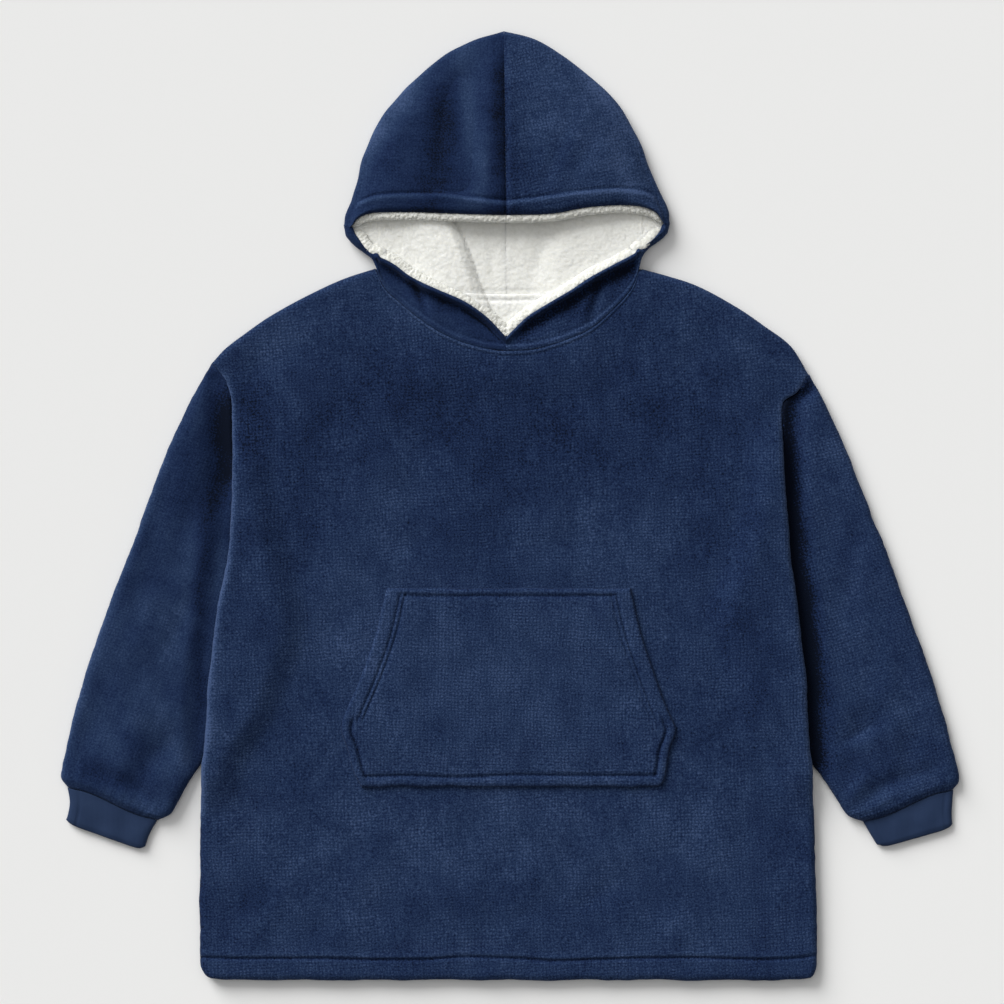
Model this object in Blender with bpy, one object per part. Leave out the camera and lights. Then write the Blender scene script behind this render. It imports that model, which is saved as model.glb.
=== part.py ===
"""A wearable blanket hoodie laid flat on a table, front up, with its hood towards +Y.

Plush flannel outside and sherpa inside, cut and sewn as a front, a back, two sleeves, two jersey
cuffs, a two-piece hood with a two-piece lining, a sherpa neck facing and a kangaroo pocket.
Every piece is a wall of cloth. The front lies on the back, the sleeves lie beside the body and run
under its sides, the hood's crown arches over its own back half, and the pocket lies on the front.

The tables are in millimetres: x from the centre front line, y up from the hem. Left and right are
as seen from above. The finished part has its origin under the middle of its outline, on the table.
"""

import math

import bmesh
import bpy
import numpy as np

MM = 0.001

# Cloth, in millimetres
WALL = 8.1  # flannel and sherpa together, in the body
FLANNEL = 3.2  # the hood's outer cloth alone
SHERPA = 4.9  # the hood's lining alone
SEAM_GAP = 0.6  # between pieces that are sewn together
LAYER_GAP = 0.4  # between layers that lie on each other
BODY_EDGE = 14.0  # how far the round of a side, shoulder or hem reaches in
EDGE_WALL = 1.3  # what is left of a wall at the middle of such a round
PRESSED = 10.0  # height of a sleeve where the body lies on it
CUFF_WALL = 3.4

BACK_TOP = WALL + LAYER_GAP
FRONT_UNDER = BACK_TOP + LAYER_GAP
FRONT_TOP = FRONT_UNDER + WALL
MIDDLE = (BACK_TOP + FRONT_UNDER) / 2
PANEL_CROWN = 1.6  # how much higher the body's middle is than its sides

# Sides of the body: up from the hem, and the edge's distance from the centre line
LEFT_SIDE = (
    (0, -372), (3, -388), (10, -395), (19, -399), (60, -400), (195, -399), (272, -398), (298, -394),
    (385, -388), (489, -375), (544, -364), (603, -359), (661, -357), (739, -358), (762, -361),
    (783, -371), (799, -386),
)
RIGHT_SIDE = (
    (0, 377), (3, 392), (10, 397), (19, 400), (60, 400), (195, 396), (272, 393), (298, 390),
    (385, 385), (489, 373), (544, 366), (603, 361), (661, 357), (733, 355), (748, 359),
    (763, 377), (783, 389),
)

# Shoulders, the front neck seam and the back neck seam: across, and up from the hem
LEFT_SHOULDER = (
    (-386, 799), (-368, 817), (-342, 837), (-309, 860), (-250, 892), (-212, 909), (-172, 922),
)
RIGHT_SHOULDER = (
    (170, 922), (203, 913), (238, 902), (297, 871), (332, 847), (366, 821), (389, 783),
)
FRONT_NECK = (
    (-172, 922), (-162, 898), (-139, 876), (-112, 854), (-83, 836), (-50, 823), (-3, 814.5),
    (28, 816), (63, 825), (104, 842), (138, 871), (161, 898), (170, 922),
)
BACK_NECK = (
    (-172, 922), (-128, 903), (-89, 893), (-45, 887), (-3, 886), (49, 887), (86, 894), (125, 904),
    (170, 922),
)

# Where the columns of the body's panels and of the collar meet the neck seam
NECK_LEFT = (-172, -166, -157, -145, -130, -110, -86, -58, -30, -3)
NECK_RIGHT = (24, 52, 80, 105, 128, 143, 155, 164, 170)
SHOULDER_COLUMNS_LEFT = (-338, -302, -268, -236, -204)
SHOULDER_COLUMNS_RIGHT = (198, 230, 262, 297, 334)

# Steps in from a rounded edge, and the hem's stitched line
EDGE_STEPS = (0, 2.5, 7, BODY_EDGE)
HEM_LINE = 24.5
HEM_STEPS = (0, 2.5, 7, BODY_EDGE, 21, HEM_LINE, 28, 36)
HEM_GROOVE = 1.7

SHOULDER_END = 60.0  # how far in from the shoulder tip the panels' columns follow the armhole
BODY_ROWS = (80, 150, 215, 265, 310, 360, 410, 460, 520, 580, 640, 705)  # above the hem's own steps

# How far a sleeve runs in under the body's side: up from the hem, and the width that is hidden
TUCK = (
    (0, 0), (250, 0), (285, 5), (345, 37), (405, 56), (455, 65), (490, 60), (540, 32), (610, 9),
    (661, 0), (800, 0),
)
TUCK_RISE = ((0, 0), (205, 0), (272, 1), (655, 1), (745, 0), (930, 0))  # share of the full lift
TUCK_SPARE = 14.0  # how far past the sleeve's hidden edge the panels stay up
TUCK_RAMP = 46.0  # over which they come down to the table again

# The armholes, from the shoulder tip to the underarm, just outside the body's edge
LEFT_ARMHOLE = (
    (-388, 801), (-373, 784), (-363, 763), (-360, 739), (-359, 661), (-352, 606), (-335, 540),
    (-323, 455),
)
RIGHT_ARMHOLE = (
    (391, 785), (379, 766), (361, 750), (357.5, 735), (359, 661), (353, 606), (337, 540),
    (323, 455),
)

# Long edges of the sleeves, armhole to hem, and of the cuffs, seam to opening
LEFT_OVERARM = (
    (-388, 801), (-417, 741), (-436, 700), (-468, 617), (-483, 575), (-515, 493), (-544, 410),
    (-566, 335), (-574, 296), (-580, 264), (-572, 250),
)
LEFT_UNDERARM = (
    (-323, 455), (-330, 405), (-360, 345), (-395, 285), (-414, 257), (-430, 228), (-438, 215),
    (-455, 207),
)
RIGHT_OVERARM = (
    (391, 785), (423, 720), (441, 679), (473, 596), (490, 555), (520, 472), (546, 400),
    (568, 329), (579, 285), (585, 259), (577, 247),
)
RIGHT_UNDERARM = (
    (323, 455), (330, 405), (358, 345), (390, 285), (408, 260), (425, 235), (440, 213),
    (460, 205),
)
LEFT_CUFF = (((-572, 250), (-569, 230), (-574, 203)), ((-455, 207), (-465, 190), (-473, 167)))
RIGHT_CUFF = (((577, 247), (575, 215), (576, 197)), ((460, 205), (471, 186), (481, 170)))
SLEEVE_STATIONS = (
    0, 0.05, 0.12, 0.21, 0.31, 0.41, 0.51, 0.61, 0.7, 0.79, 0.87, 0.93, 0.965, 0.985, 1,
)
SLEEVE_CLOSING = 0.93  # the station from which a sleeve thins towards its cuff
SLEEVE_EDGE = 13.0
SLEEVE_HEM_HEIGHT = 11.0
HIDDEN_WALL = 7.0  # a sleeve's wall in its upper half, which is pressed under the body
CUFF_HEIGHT = 8.6
CUFF_EDGE = 9.5
CUFF_STATIONS = (0.012, 0.2, 0.5, 0.8, 0.95, 1)  # the first leaves the seam's gap
TUBE_STEPS = (1.5, 4.5, 8.5)  # steps in from a tube's long edges, before the flat part
TUBE_SHARES = (0.22, 0.36, 0.5, 0.64, 0.78)  # across the flat part

# Hood, corner columns: brim, outline, lower outline and face edge, each as across, up
LEFT_CORNER = (
    ((-201, 978.5), (-212.5, 980), (-212.5, 973), (-201, 974)),
    ((-197, 984), (-212, 988), (-211, 965), (-199, 968)),
    ((-190, 989), (-209, 998), (-206, 958), (-194, 961)),
    ((-181, 992), (-204, 1009), (-198, 950), (-187.5, 951.5)),
    ((-171, 993.5), (-200, 1021), (-187, 942), (-180, 944)),
)
RIGHT_CORNER = (
    ((199, 983), (208.5, 985), (208.5, 977), (199, 978)),
    ((195.5, 989), (208, 992), (206.5, 969), (196, 971)),
    ((189, 995), (205.5, 1001), (201, 962), (190, 963)),
    ((180, 999), (201, 1011), (192, 955), (182, 955)),
    ((170, 1001.5), (196, 1022), (181, 947), (174, 948.5)),
)
# Hood, columns that start at the neck seam: brim across, and the outline's point
LEFT_CROWN = (
    (-160, (-196, 1035)), (-146, (-191, 1060)), (-134, (-183, 1081)), (-120, (-172, 1104)),
    (-105, (-158, 1127)), (-88, (-140, 1149)), (-69, (-117, 1170)), (-48, (-88, 1195)),
    (-26, (-52, 1215)), (-3, (-7, 1230)),
)
RIGHT_CROWN = (
    (161, (192, 1031)), (146, (181, 1057)), (133, (173, 1079)), (119, (163, 1100)), (104, (150, 1124)),
    (85, (131, 1148)), (64, (104, 1172)), (42, (70, 1198)), (20, (34, 1218)), (-3, (-7, 1230)),
)
BRIM = (
    (-204, 977), (-187, 990), (-168, 994), (-134, 994), (-78, 992), (-3, 990), (49, 991), (104, 1000),
    (147, 1003), (175, 1001), (192, 994), (200, 982),
)
FACE_EDGE = (
    (-203, 974), (-182, 946), (-148, 927), (-125, 910), (-91, 894), (-61, 881), (-36, 865), (-14, 847),
    (-3, 833), (12, 847), (29, 863), (51, 876), (80, 893), (104, 909), (133, 925), (161, 940), (188, 959),
    (200, 977),
)
HOOD_FOLD = 8.0  # plan depth of the fold round the hood's outline
CORNER_FOLD = 5.5  # the same at the lower corners
CROWN_EDGE_HEIGHT = 18.6
BRIM_HEIGHT = 37.0  # at the centre seam
LEDGE = 9.0  # how far the lining shows past the brim
BRIM_LINE = 0.91  # the brim's stitched line, as a share of the way down the crown
CROWN_STEPS = (0, 0.07, 0.18, 0.32, 0.48, 0.64, 0.78, 0.875, BRIM_LINE, 0.95, 1)
BRIM_GROOVE = 1.5
CENTRE_GROOVE = 1.6  # along the hood's centre seam
COLLAR_STEPS = (0, 0.1, 0.3, 0.65, 1)
COLLAR_ROLL = 2.2  # how much the collar swells behind its face edge

# Neck facing: its half width, its lower edge, and how much it lifts what lies on it
FACING_HALF = 84.0
FACING_LOW = 800.0
FACING_WALL = 2.8
FACING_LIFT = 3.3

# Kangaroo pocket: up from the hem, left edge, right edge
POCKET_SIDES = (
    (251, -190, 194), (256, -193, 200), (270, -200, 204), (300, -208, 209), (325, -216, 217),
    (336, -215, 213), (349, -210, 207), (394, -191, 190), (452, -171, 171), (499, -160, 160), (508, -157, 158),
)
POCKET_ROWS = (0, 2.5, 6, 11, 14, 17, 30, 50, 70, 78, 84, 98, 130, 165, 200, 230, 243, 246, 249.5, 253, 257)
POCKET_STEPS = (0, 2.5, 6, 13, 16, 19)
POCKET_FRACTIONS = (0.12, 0.3, 0.5, 0.7, 0.88)
POCKET_WALL = 5.0
# The pocket's stitched lines: in from the slanted edges, up from the foot, down from the top
POCKET_LINE = 16.0
POCKET_FOOT_LINE = 14.0
POCKET_TOP_LINE = 9.5

# Soft folds: across, up, half length, half width, turn in degrees, rise
SOFT_FOLDS = (
    (-318, 800, 60, 20, 20, -2.2),
    (-560, 300, 40, 22, 60, -2.4),
    (-500, 285, 46, 20, 80, 2.2),
    (-455, 292, 34, 16, 50, -2.4),
    (-430, 560, 90, 26, 62, -2.0),
    (-300, 640, 170, 40, 84, 2.2),
    (300, 650, 170, 40, 96, 2.0),
    (440, 560, 90, 26, 118, -2.0),
    (515, 290, 30, 18, 100, -2.6),
    (462, 336, 44, 18, 30, -2.2),
    (-70, 100, 40, 20, 120, 2.2),
    (110, 112, 60, 24, 20, -1.8),
    (-105, 1085, 80, 30, 78, -3.0),
    (-30, 1110, 95, 18, 88, 2.4),
    (95, 1080, 80, 36, 104, 1.8),
)


def smooth(share):
    """0 to 1 with soft ends."""
    share = min(max(share, 0.0), 1.0)
    return share * share * (3 - 2 * share)


def curve_value(keys, values, at):
    """A smooth curve through the values that never swings past them."""
    if at <= keys[0]:
        return values[0]
    if at >= keys[-1]:
        return values[-1]
    steps = np.diff(keys)
    slopes = np.diff(values) / steps
    here = int(np.searchsorted(keys, at, side="right")) - 1

    def slope_at(i):
        if i == 0:
            return slopes[0]
        if i == len(slopes):
            return slopes[-1]
        before, after = slopes[i - 1], slopes[i]
        return 0.0 if before * after <= 0 else 2 * before * after / (before + after)

    span = steps[here]
    t = (at - keys[here]) / span
    start, end = values[here], values[here + 1]
    return (
        start * (1 + 2 * t) * (1 - t) ** 2
        + end * t * t * (3 - 2 * t)
        + span * slope_at(here) * t * (1 - t) ** 2
        - span * slope_at(here + 1) * t * t * (1 - t)
    )


def at_key(table, at, column=1):
    rows = np.array(table, float)
    return float(curve_value(rows[:, 0], rows[:, column], at))


def on_path(points, share):
    """The plan point at a share of the way along a smooth path."""
    path = np.array(points, float)
    lengths = np.concatenate([[0], np.cumsum(np.linalg.norm(np.diff(path, axis=0), axis=1))])
    lengths /= lengths[-1]
    return np.array([curve_value(lengths, path[:, 0], share), curve_value(lengths, path[:, 1], share)])


def normals_of(points, towards, last=None):
    """Unit normals of a plan polyline, all on the side of a given point. last sets the end one."""
    path = np.array(points, float)
    run = np.gradient(path, axis=0)
    side = np.stack([-run[:, 1], run[:, 0]], axis=1)
    side /= np.linalg.norm(side, axis=1)[:, None]
    side *= np.sign(((np.array(towards) - path) * side).sum(axis=1))[:, None]
    if last is not None:
        side[-1] = last
    return side


def round_drop(distance, reach, depth):
    """How far a surface has come down at a distance in from a rounded edge."""
    if distance >= reach:
        return 0.0
    return depth * (1 - math.sqrt(1 - (1 - max(distance, 0.0) / reach) ** 2))


def soft_folds(x, y):
    rise = 0.0
    for across, up, length, width, turn, height in SOFT_FOLDS:
        c, s = math.cos(math.radians(turn)), math.sin(math.radians(turn))
        along = ((x - across) * c + (y - up) * s) / length
        over = ((y - up) * c - (x - across) * s) / width
        rise += height * math.exp(-(along * along + over * over))
    return rise


def side_gap(x, y):
    """Distance in from the nearer side edge of the body."""
    return min(x - at_key(LEFT_SIDE, y), at_key(RIGHT_SIDE, y) - x)


def body_lift(x, y):
    """How far the sleeves under the body's sides lift its panels."""
    past = side_gap(x, y) - at_key(TUCK, y) - TUCK_SPARE
    return (PRESSED + 2 * SEAM_GAP) * at_key(TUCK_RISE, y) * (1 - smooth(past / TUCK_RAMP))


def facing_lift(x, y):
    """How far the neck facing lifts the front neck and the collar."""
    across = smooth((FACING_HALF + 60 - abs(x)) / 50)
    up = smooth((y - (FACING_LOW - 60)) / 50) * smooth((FACING_LOW + 150 - y) / 50)
    return FACING_LIFT * across * up


def front_height(x, y):
    """The front panel's upper surface, away from its edges."""
    crown = PANEL_CROWN * math.cos(math.pi * x / 900) * math.sin(math.pi * min(max(y, 0), 950) / 950)
    near_pocket = at_key(POCKET_SIDES, y) - 40 < x < at_key(POCKET_SIDES, y, 2) + 40 and 200 < y < 560
    folds = 0.0 if near_pocket else soft_folds(x, y)
    return FRONT_TOP + crown + body_lift(x, y) + facing_lift(x, y) + folds


def fabric(name, colour, roughness):
    made = bpy.data.materials.new(name)
    made.use_nodes = True
    shader = made.node_tree.nodes["Principled BSDF"]
    shader.inputs["Base Color"].default_value = (*colour, 1)
    shader.inputs["Roughness"].default_value = roughness
    shader.inputs["Metallic"].default_value = 0.0
    return made


def add_wall(name, outer, inner, cloth, ring=False, present=None):
    """One closed solid between two grids of points, in millimetres.

    outer and inner are the same size, rows by columns. ring joins the last column to the first.
    present says which cells are there, and every edge of what is there is closed by a strip.
    """
    rows, columns = len(outer), len(outer[0])
    mesh = bmesh.new()
    corners = {}

    def corner(side, i, j):
        key = (side, i, j % columns)
        if key not in corners:
            x, y, z = (outer if side else inner)[key[1]][key[2]]
            corners[key] = mesh.verts.new((x * MM, y * MM, z * MM))
        return corners[key]

    last = columns if ring else columns - 1
    cells = {(i, j) for i in range(rows - 1) for j in range(last) if present is None or present(i, j)}
    for i, j in sorted(cells):
        square = ((i, j), (i, j + 1), (i + 1, j + 1), (i + 1, j))
        for half in ((0, 1, 2), (0, 2, 3)):
            mesh.faces.new([corner(True, *square[k]) for k in half])
            mesh.faces.new([corner(False, *square[k]) for k in reversed(half)])
        neighbours = ((i - 1, j), (i, j + 1), (i + 1, j), (i, j - 1))
        for side, (ni, nj) in enumerate(neighbours):
            if (ni, nj % last if ring else nj) in cells:
                continue
            start, end = square[side], square[(side + 1) % 4]
            strip = [corner(True, *end), corner(True, *start), corner(False, *start), corner(False, *end)]
            mesh.faces.new(strip)
    bmesh.ops.recalc_face_normals(mesh, faces=mesh.faces)
    data = bpy.data.meshes.new(name)
    mesh.to_mesh(data)
    mesh.free()
    data.shade_smooth()
    data.set_sharp_from_angle(angle=math.radians(50))
    data.materials.append(cloth)
    made = bpy.data.objects.new(name, data)
    bpy.context.collection.objects.link(made)
    return made


def panel_columns():
    """Where the columns of the front and back start, across at the shoulder and neck line."""
    left, right = LEFT_SHOULDER[0][0], RIGHT_SHOULDER[-1][0]
    left_edge = [left + step for step in EDGE_STEPS]
    right_edge = [right - step for step in reversed(EDGE_STEPS)]
    middle = SHOULDER_COLUMNS_LEFT + NECK_LEFT + NECK_RIGHT + SHOULDER_COLUMNS_RIGHT
    return left_edge + list(middle) + right_edge


def top_line(x, neck):
    """The shoulder and neck line of a panel, up from the hem."""
    if x <= LEFT_SHOULDER[-1][0]:
        return at_key(LEFT_SHOULDER, x)
    if x >= RIGHT_SHOULDER[0][0]:
        return at_key(RIGHT_SHOULDER, x)
    return at_key(neck, x)


def panel_plan(neck):
    """Rows of plan points of a body panel, hem to shoulder."""
    tops = panel_columns()
    lines = [top_line(x, neck) for x in tops]
    shares = [(x - tops[0]) / (tops[-1] - tops[0]) for x in tops]
    straight = list(HEM_STEPS) + list(BODY_ROWS)
    plan = []
    for up in straight:
        left, right = at_key(LEFT_SIDE, up), at_key(RIGHT_SIDE, up)
        plan.append([(left + share * (right - left), float(up)) for share in shares])
    base = straight[-1]
    for share_up, step in [(0.3, None), (0.58, None), (0.8, None)] + [(1, s) for s in reversed(EDGE_STEPS)]:
        if step is None:
            ups = [base + share_up * (line - BODY_EDGE - base) for line in lines]
        else:
            ups = [line - step for line in lines]
        left, right = at_key(LEFT_SIDE, ups[0]), at_key(RIGHT_SIDE, ups[-1])
        row = []
        for x, share, up in zip(tops, shares, ups):
            even = left + share * (right - left)
            upright = x + (left - tops[0]) * max(0, 1 - (x - tops[0]) / SHOULDER_END)
            upright += (right - tops[-1]) * max(0, 1 - (tops[-1] - x) / SHOULDER_END)
            row.append((even + (upright - even) * share_up, up))
        plan.append(row)
    return plan


def seam_depth(x, y, top):
    """How much of the edge's round there is: all at a free fold, little at a sewn seam."""
    if NECK_LEFT[0] < x < NECK_RIGHT[-1] and top - y < BODY_EDGE:
        return 0.3
    at_armhole = smooth((y - 700) / 60) * smooth((60 - side_gap(x, y)) / 30)
    return 1 - 0.65 * at_armhole * smooth((top - y) / 20 + 0.2)


def edge_distance(x, y, top):
    return min(side_gap(x, y), y, top - y)


def hem_groove(y):
    return -HEM_GROOVE * math.exp(-(((y - HEM_LINE) / 2.6) ** 2))


def make_front(cloth):
    plan = panel_plan(FRONT_NECK)
    tops = plan[-1]
    outer, inner = [], []
    for row in plan:
        upper, under = [], []
        for (x, y), (_, top) in zip(row, tops):
            low = FRONT_UNDER + body_lift(x, y) + facing_lift(x, y)
            full = front_height(x, y)
            depth = (full - low - EDGE_WALL) * seam_depth(x, y, top)
            drop = round_drop(edge_distance(x, y, top), BODY_EDGE, depth)
            upper.append((x, y, full + hem_groove(y) - drop))
            under.append((x, y, low))
        outer.append(upper)
        inner.append(under)
    add_wall("front_panel", outer, inner, cloth)


def make_back(cloth):
    plan = panel_plan(BACK_NECK)
    tops = plan[-1]
    outer, inner = [], []
    for row in plan:
        upper, under = [], []
        for (x, y), (_, top) in zip(row, tops):
            lift = body_lift(x, y)
            depth = (BACK_TOP - EDGE_WALL) * seam_depth(x, y, top)
            upper.append((x, y, BACK_TOP + lift))
            under.append((x, y, lift + round_drop(edge_distance(x, y, top), BODY_EDGE, depth)))
        outer.append(upper)
        inner.append(under)
    add_wall("back_panel", outer, inner, cloth)


def sleeve_height(x, y):
    """The sleeve's upper surface away from its edges: lower beside and under the body."""
    side = LEFT_SIDE if x < 0 else RIGHT_SIDE
    outside = abs(x) - abs(at_key(side, y))
    pressed = 1 - smooth((y - 640) / 105)
    if y < 285:
        pressed *= smooth((y - 235) / 50)
    free = smooth((outside + 2) / 30)
    return FRONT_TOP - (FRONT_TOP - PRESSED) * pressed * (1 - free) + soft_folds(x, y) * free


def tube_ring(start, end, heights, wall, edge, plan_of):
    """One ring of a flattened tube: its outer and inner loops, round from one long edge and back."""
    width = float(np.linalg.norm(np.array(end) - np.array(start)))
    near = [step / width for step in (*TUBE_STEPS, edge)]
    shares = near + list(TUBE_SHARES) + [1 - share for share in reversed(near)]
    outer, inner = [], []

    def place(share, level):
        x, y = plan_of(share)
        top = heights(x, y)
        distance = min(share, 1 - share) * width
        rise = math.sqrt(max(0.0, 1 - (1 - min(distance / edge, 1)) ** 2))
        outer.append((x, y, top / 2 + level * rise * top / 2))
        inset = wall + distance * (edge - wall) / edge if distance < edge else distance
        inner_share = inset / width if share <= 0.5 else 1 - inset / width
        ix, iy = plan_of(inner_share)
        inner.append((ix, iy, top / 2 + level * rise * LAYER_GAP))

    place(0.0, 0)
    for share in shares:
        place(share, 1)
    place(1.0, 0)
    for share in reversed(shares):
        place(share, -1)
    return outer, inner


def make_sleeve(name, armhole, overarm, underarm, cloth):
    outer, inner = [], []
    for station in SLEEVE_STATIONS:
        start, end = on_path(overarm, station), on_path(underarm, station)
        straight = smooth(station / 0.25)

        def plan_of(share):
            line = start + (end - start) * share
            first, last = on_path(armhole, 0), on_path(armhole, 1)
            curve = on_path(armhole, share) - first - (last - first) * share
            return line + curve * (1 - straight)

        def heights(x, y):
            closing = smooth((station - SLEEVE_CLOSING) / (1 - SLEEVE_CLOSING))
            return sleeve_height(x, y) * (1 - closing) + SLEEVE_HEM_HEIGHT * closing

        wall = WALL if station > 0.5 else HIDDEN_WALL
        ring_outer, ring_inner = tube_ring(start, end, heights, wall, SLEEVE_EDGE, plan_of)
        outer.append(ring_outer)
        inner.append(ring_inner)
    add_wall(name, outer, inner, cloth, ring=True)


def make_cuff(name, edges, cloth):
    outer_edge, inner_edge = edges
    outer, inner = [], []
    for station in CUFF_STATIONS:
        start, end = on_path(outer_edge, station), on_path(inner_edge, station)
        closing = smooth((station - 0.85) / 0.15)
        height = CUFF_HEIGHT - 1.6 * closing + 0.6 * math.sin(math.pi * station)

        def plan_of(share):
            return start + (end - start) * share

        def heights(x, y):
            return height

        ring_outer, ring_inner = tube_ring(start, end, heights, CUFF_WALL, CUFF_EDGE, plan_of)
        outer.append(ring_outer)
        inner.append(ring_inner)
    add_wall(name, outer, inner, cloth, ring=True)


def crown_height(across_share, down_share, x, y):
    """The crown's upper surface: from the outline up to the brim, highest at the centre seam."""
    lowest = 2.0
    brim = lowest + (BRIM_HEIGHT - CROWN_EDGE_HEIGHT - lowest) * math.sin(math.pi / 2 * across_share)
    rise = math.sin(math.pi / 2 * down_share) ** 0.85
    return CROWN_EDGE_HEIGHT + brim * rise + soft_folds(x, y) * smooth(down_share * 4)


def hood_columns(corner, crown, necks, side):
    """Plan points of each column of a hood half, corner to centre seam.

    Each has the brim, outline, lower edge of the back half, neck seam and face edge.
    """
    centre = side * SEAM_GAP / 2
    columns = []
    for brim, outline, lower, face in corner:
        columns.append({"brim": brim, "outline": outline, "lower": lower, "neck": lower, "face": face})
    neck_line = [(x, at_key(FRONT_NECK, x)) for x in necks]
    inward = normals_of(neck_line, (-3, 940))
    for (brim_x, outline), (x, up), normal in zip(crown, neck_line, inward):
        middle = x == NECK_LEFT[-1]
        shift = centre if middle else 0.0
        out = np.array((0.0, 1.0)) if middle else normal
        columns.append(
            {
                "brim": (brim_x + shift, at_key(BRIM, brim_x)),
                "outline": (outline[0] + shift, outline[1]),
                "lower": (x + shift, at_key(BACK_NECK, x) + SEAM_GAP),
                "neck": (x + shift + out[0] * SEAM_GAP, up + out[1] * SEAM_GAP),
                "face": (x + shift, at_key(FACE_EDGE, x)),
            }
        )
    split = columns[len(corner)]
    split["face"] = (split["face"][0] - side * 3.5, at_key(FACE_EDGE, necks[0]) + 1)
    split["neck"] = (necks[0] - side * 0.2, neck_line[0][1] + 1.8)
    split["lower"] = (necks[0] - side * 1.0, neck_line[0][1] + 9.0)
    return columns


def collar_levels(x, y, inset):
    """Upper and under surface of the collar, at a distance in from the face edge."""
    lift = facing_lift(x, y)
    roll = COLLAR_ROLL * math.exp(-((inset / 16) ** 2))
    upper = FRONT_TOP + lift + roll - round_drop(inset, 7.0, 4.4)
    return upper, FRONT_UNDER + lift


def make_hood_half(name, corner, crown, necks, side, cloth):
    columns = hood_columns(corner, crown, necks, side)
    folded = len(corner)
    outline_normals = normals_of([c["outline"] for c in columns], (0, 1040), (0, -1))
    lower_normals = normals_of([c["lower"] for c in columns[: folded + 1]], (0, 1000))
    outer, inner = [], []
    for j, column in enumerate(columns):
        across_share = j / (len(columns) - 1)
        point = {key: np.array(column[key], float) for key in ("brim", "outline", "lower", "neck", "face")}
        up_in = point["outline"] + outline_normals[j] * HOOD_FOLD
        low_in, neck_in = point["lower"], point["neck"]
        if j <= folded:
            low_in = point["lower"] + lower_normals[j] * CORNER_FOLD
            neck_in = low_in if j < folded else point["neck"]
        upper_line, under_line = [], []
        for share in COLLAR_STEPS:
            at = point["face"] + (neck_in - point["face"]) * share
            top, low = collar_levels(*at, float(np.linalg.norm(at - point["face"])))
            upper_line.append((*at, top))
            under_line.append((*at, low))
        for turn in (50, 0, -50):
            c, s = math.cos(math.radians(turn)), math.sin(math.radians(turn))
            middle = neck_in + (low_in - neck_in) * (90 - turn) / 180
            normal = lower_normals[min(j, folded)] * (1.0 if j < folded else 0.2)
            upper_line.append((*(middle - normal * CORNER_FOLD * c), MIDDLE + MIDDLE * s))
            under_line.append((*(middle - normal * (CORNER_FOLD - FLANNEL) * c), 6.1 + 2.8 * s))
        for share in (0, 0.25, 0.5, 0.75, 1):
            at = low_in + (up_in - low_in) * share
            upper_line.append((*at, 0.0))
            under_line.append((*at, FLANNEL))
        edge = CROWN_EDGE_HEIGHT / 2
        for turn in (-60, -30, 0, 30, 60):
            c, s = math.cos(math.radians(turn)), math.sin(math.radians(turn))
            out, back = up_in - outline_normals[j] * HOOD_FOLD * c, HOOD_FOLD - FLANNEL
            upper_line.append((*out, edge + edge * s))
            under_line.append((*(up_in - outline_normals[j] * back * c), edge + (edge - FLANNEL) * s))
        for share in CROWN_STEPS:
            at = up_in + (point["brim"] - up_in) * share
            top = crown_height(across_share, share, *at)
            groove = -BRIM_GROOVE * math.exp(-(((share - BRIM_LINE) / 0.012) ** 2))
            seam = -CENTRE_GROOVE * math.exp(-(((at[0] + 5) / 4) ** 2))
            drop = round_drop((1 - share) * float(np.linalg.norm(point["brim"] - up_in)), 9.0, 2.4)
            upper_line.append((*at, top + groove + seam - drop))
            under_line.append((*at, top - FLANNEL - 1.5 * smooth((share - 0.85) / 0.1)))
        outer.append(upper_line)
        inner.append(under_line)
    collar_end, back_start = len(COLLAR_STEPS) - 1, len(COLLAR_STEPS) + 3

    def present(i, j):
        return j < folded or not collar_end <= i < back_start

    turned_outer = [list(row) for row in zip(*outer)]
    turned_inner = [list(row) for row in zip(*inner)]
    add_wall(name, turned_outer, turned_inner, cloth, present=present)


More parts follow.
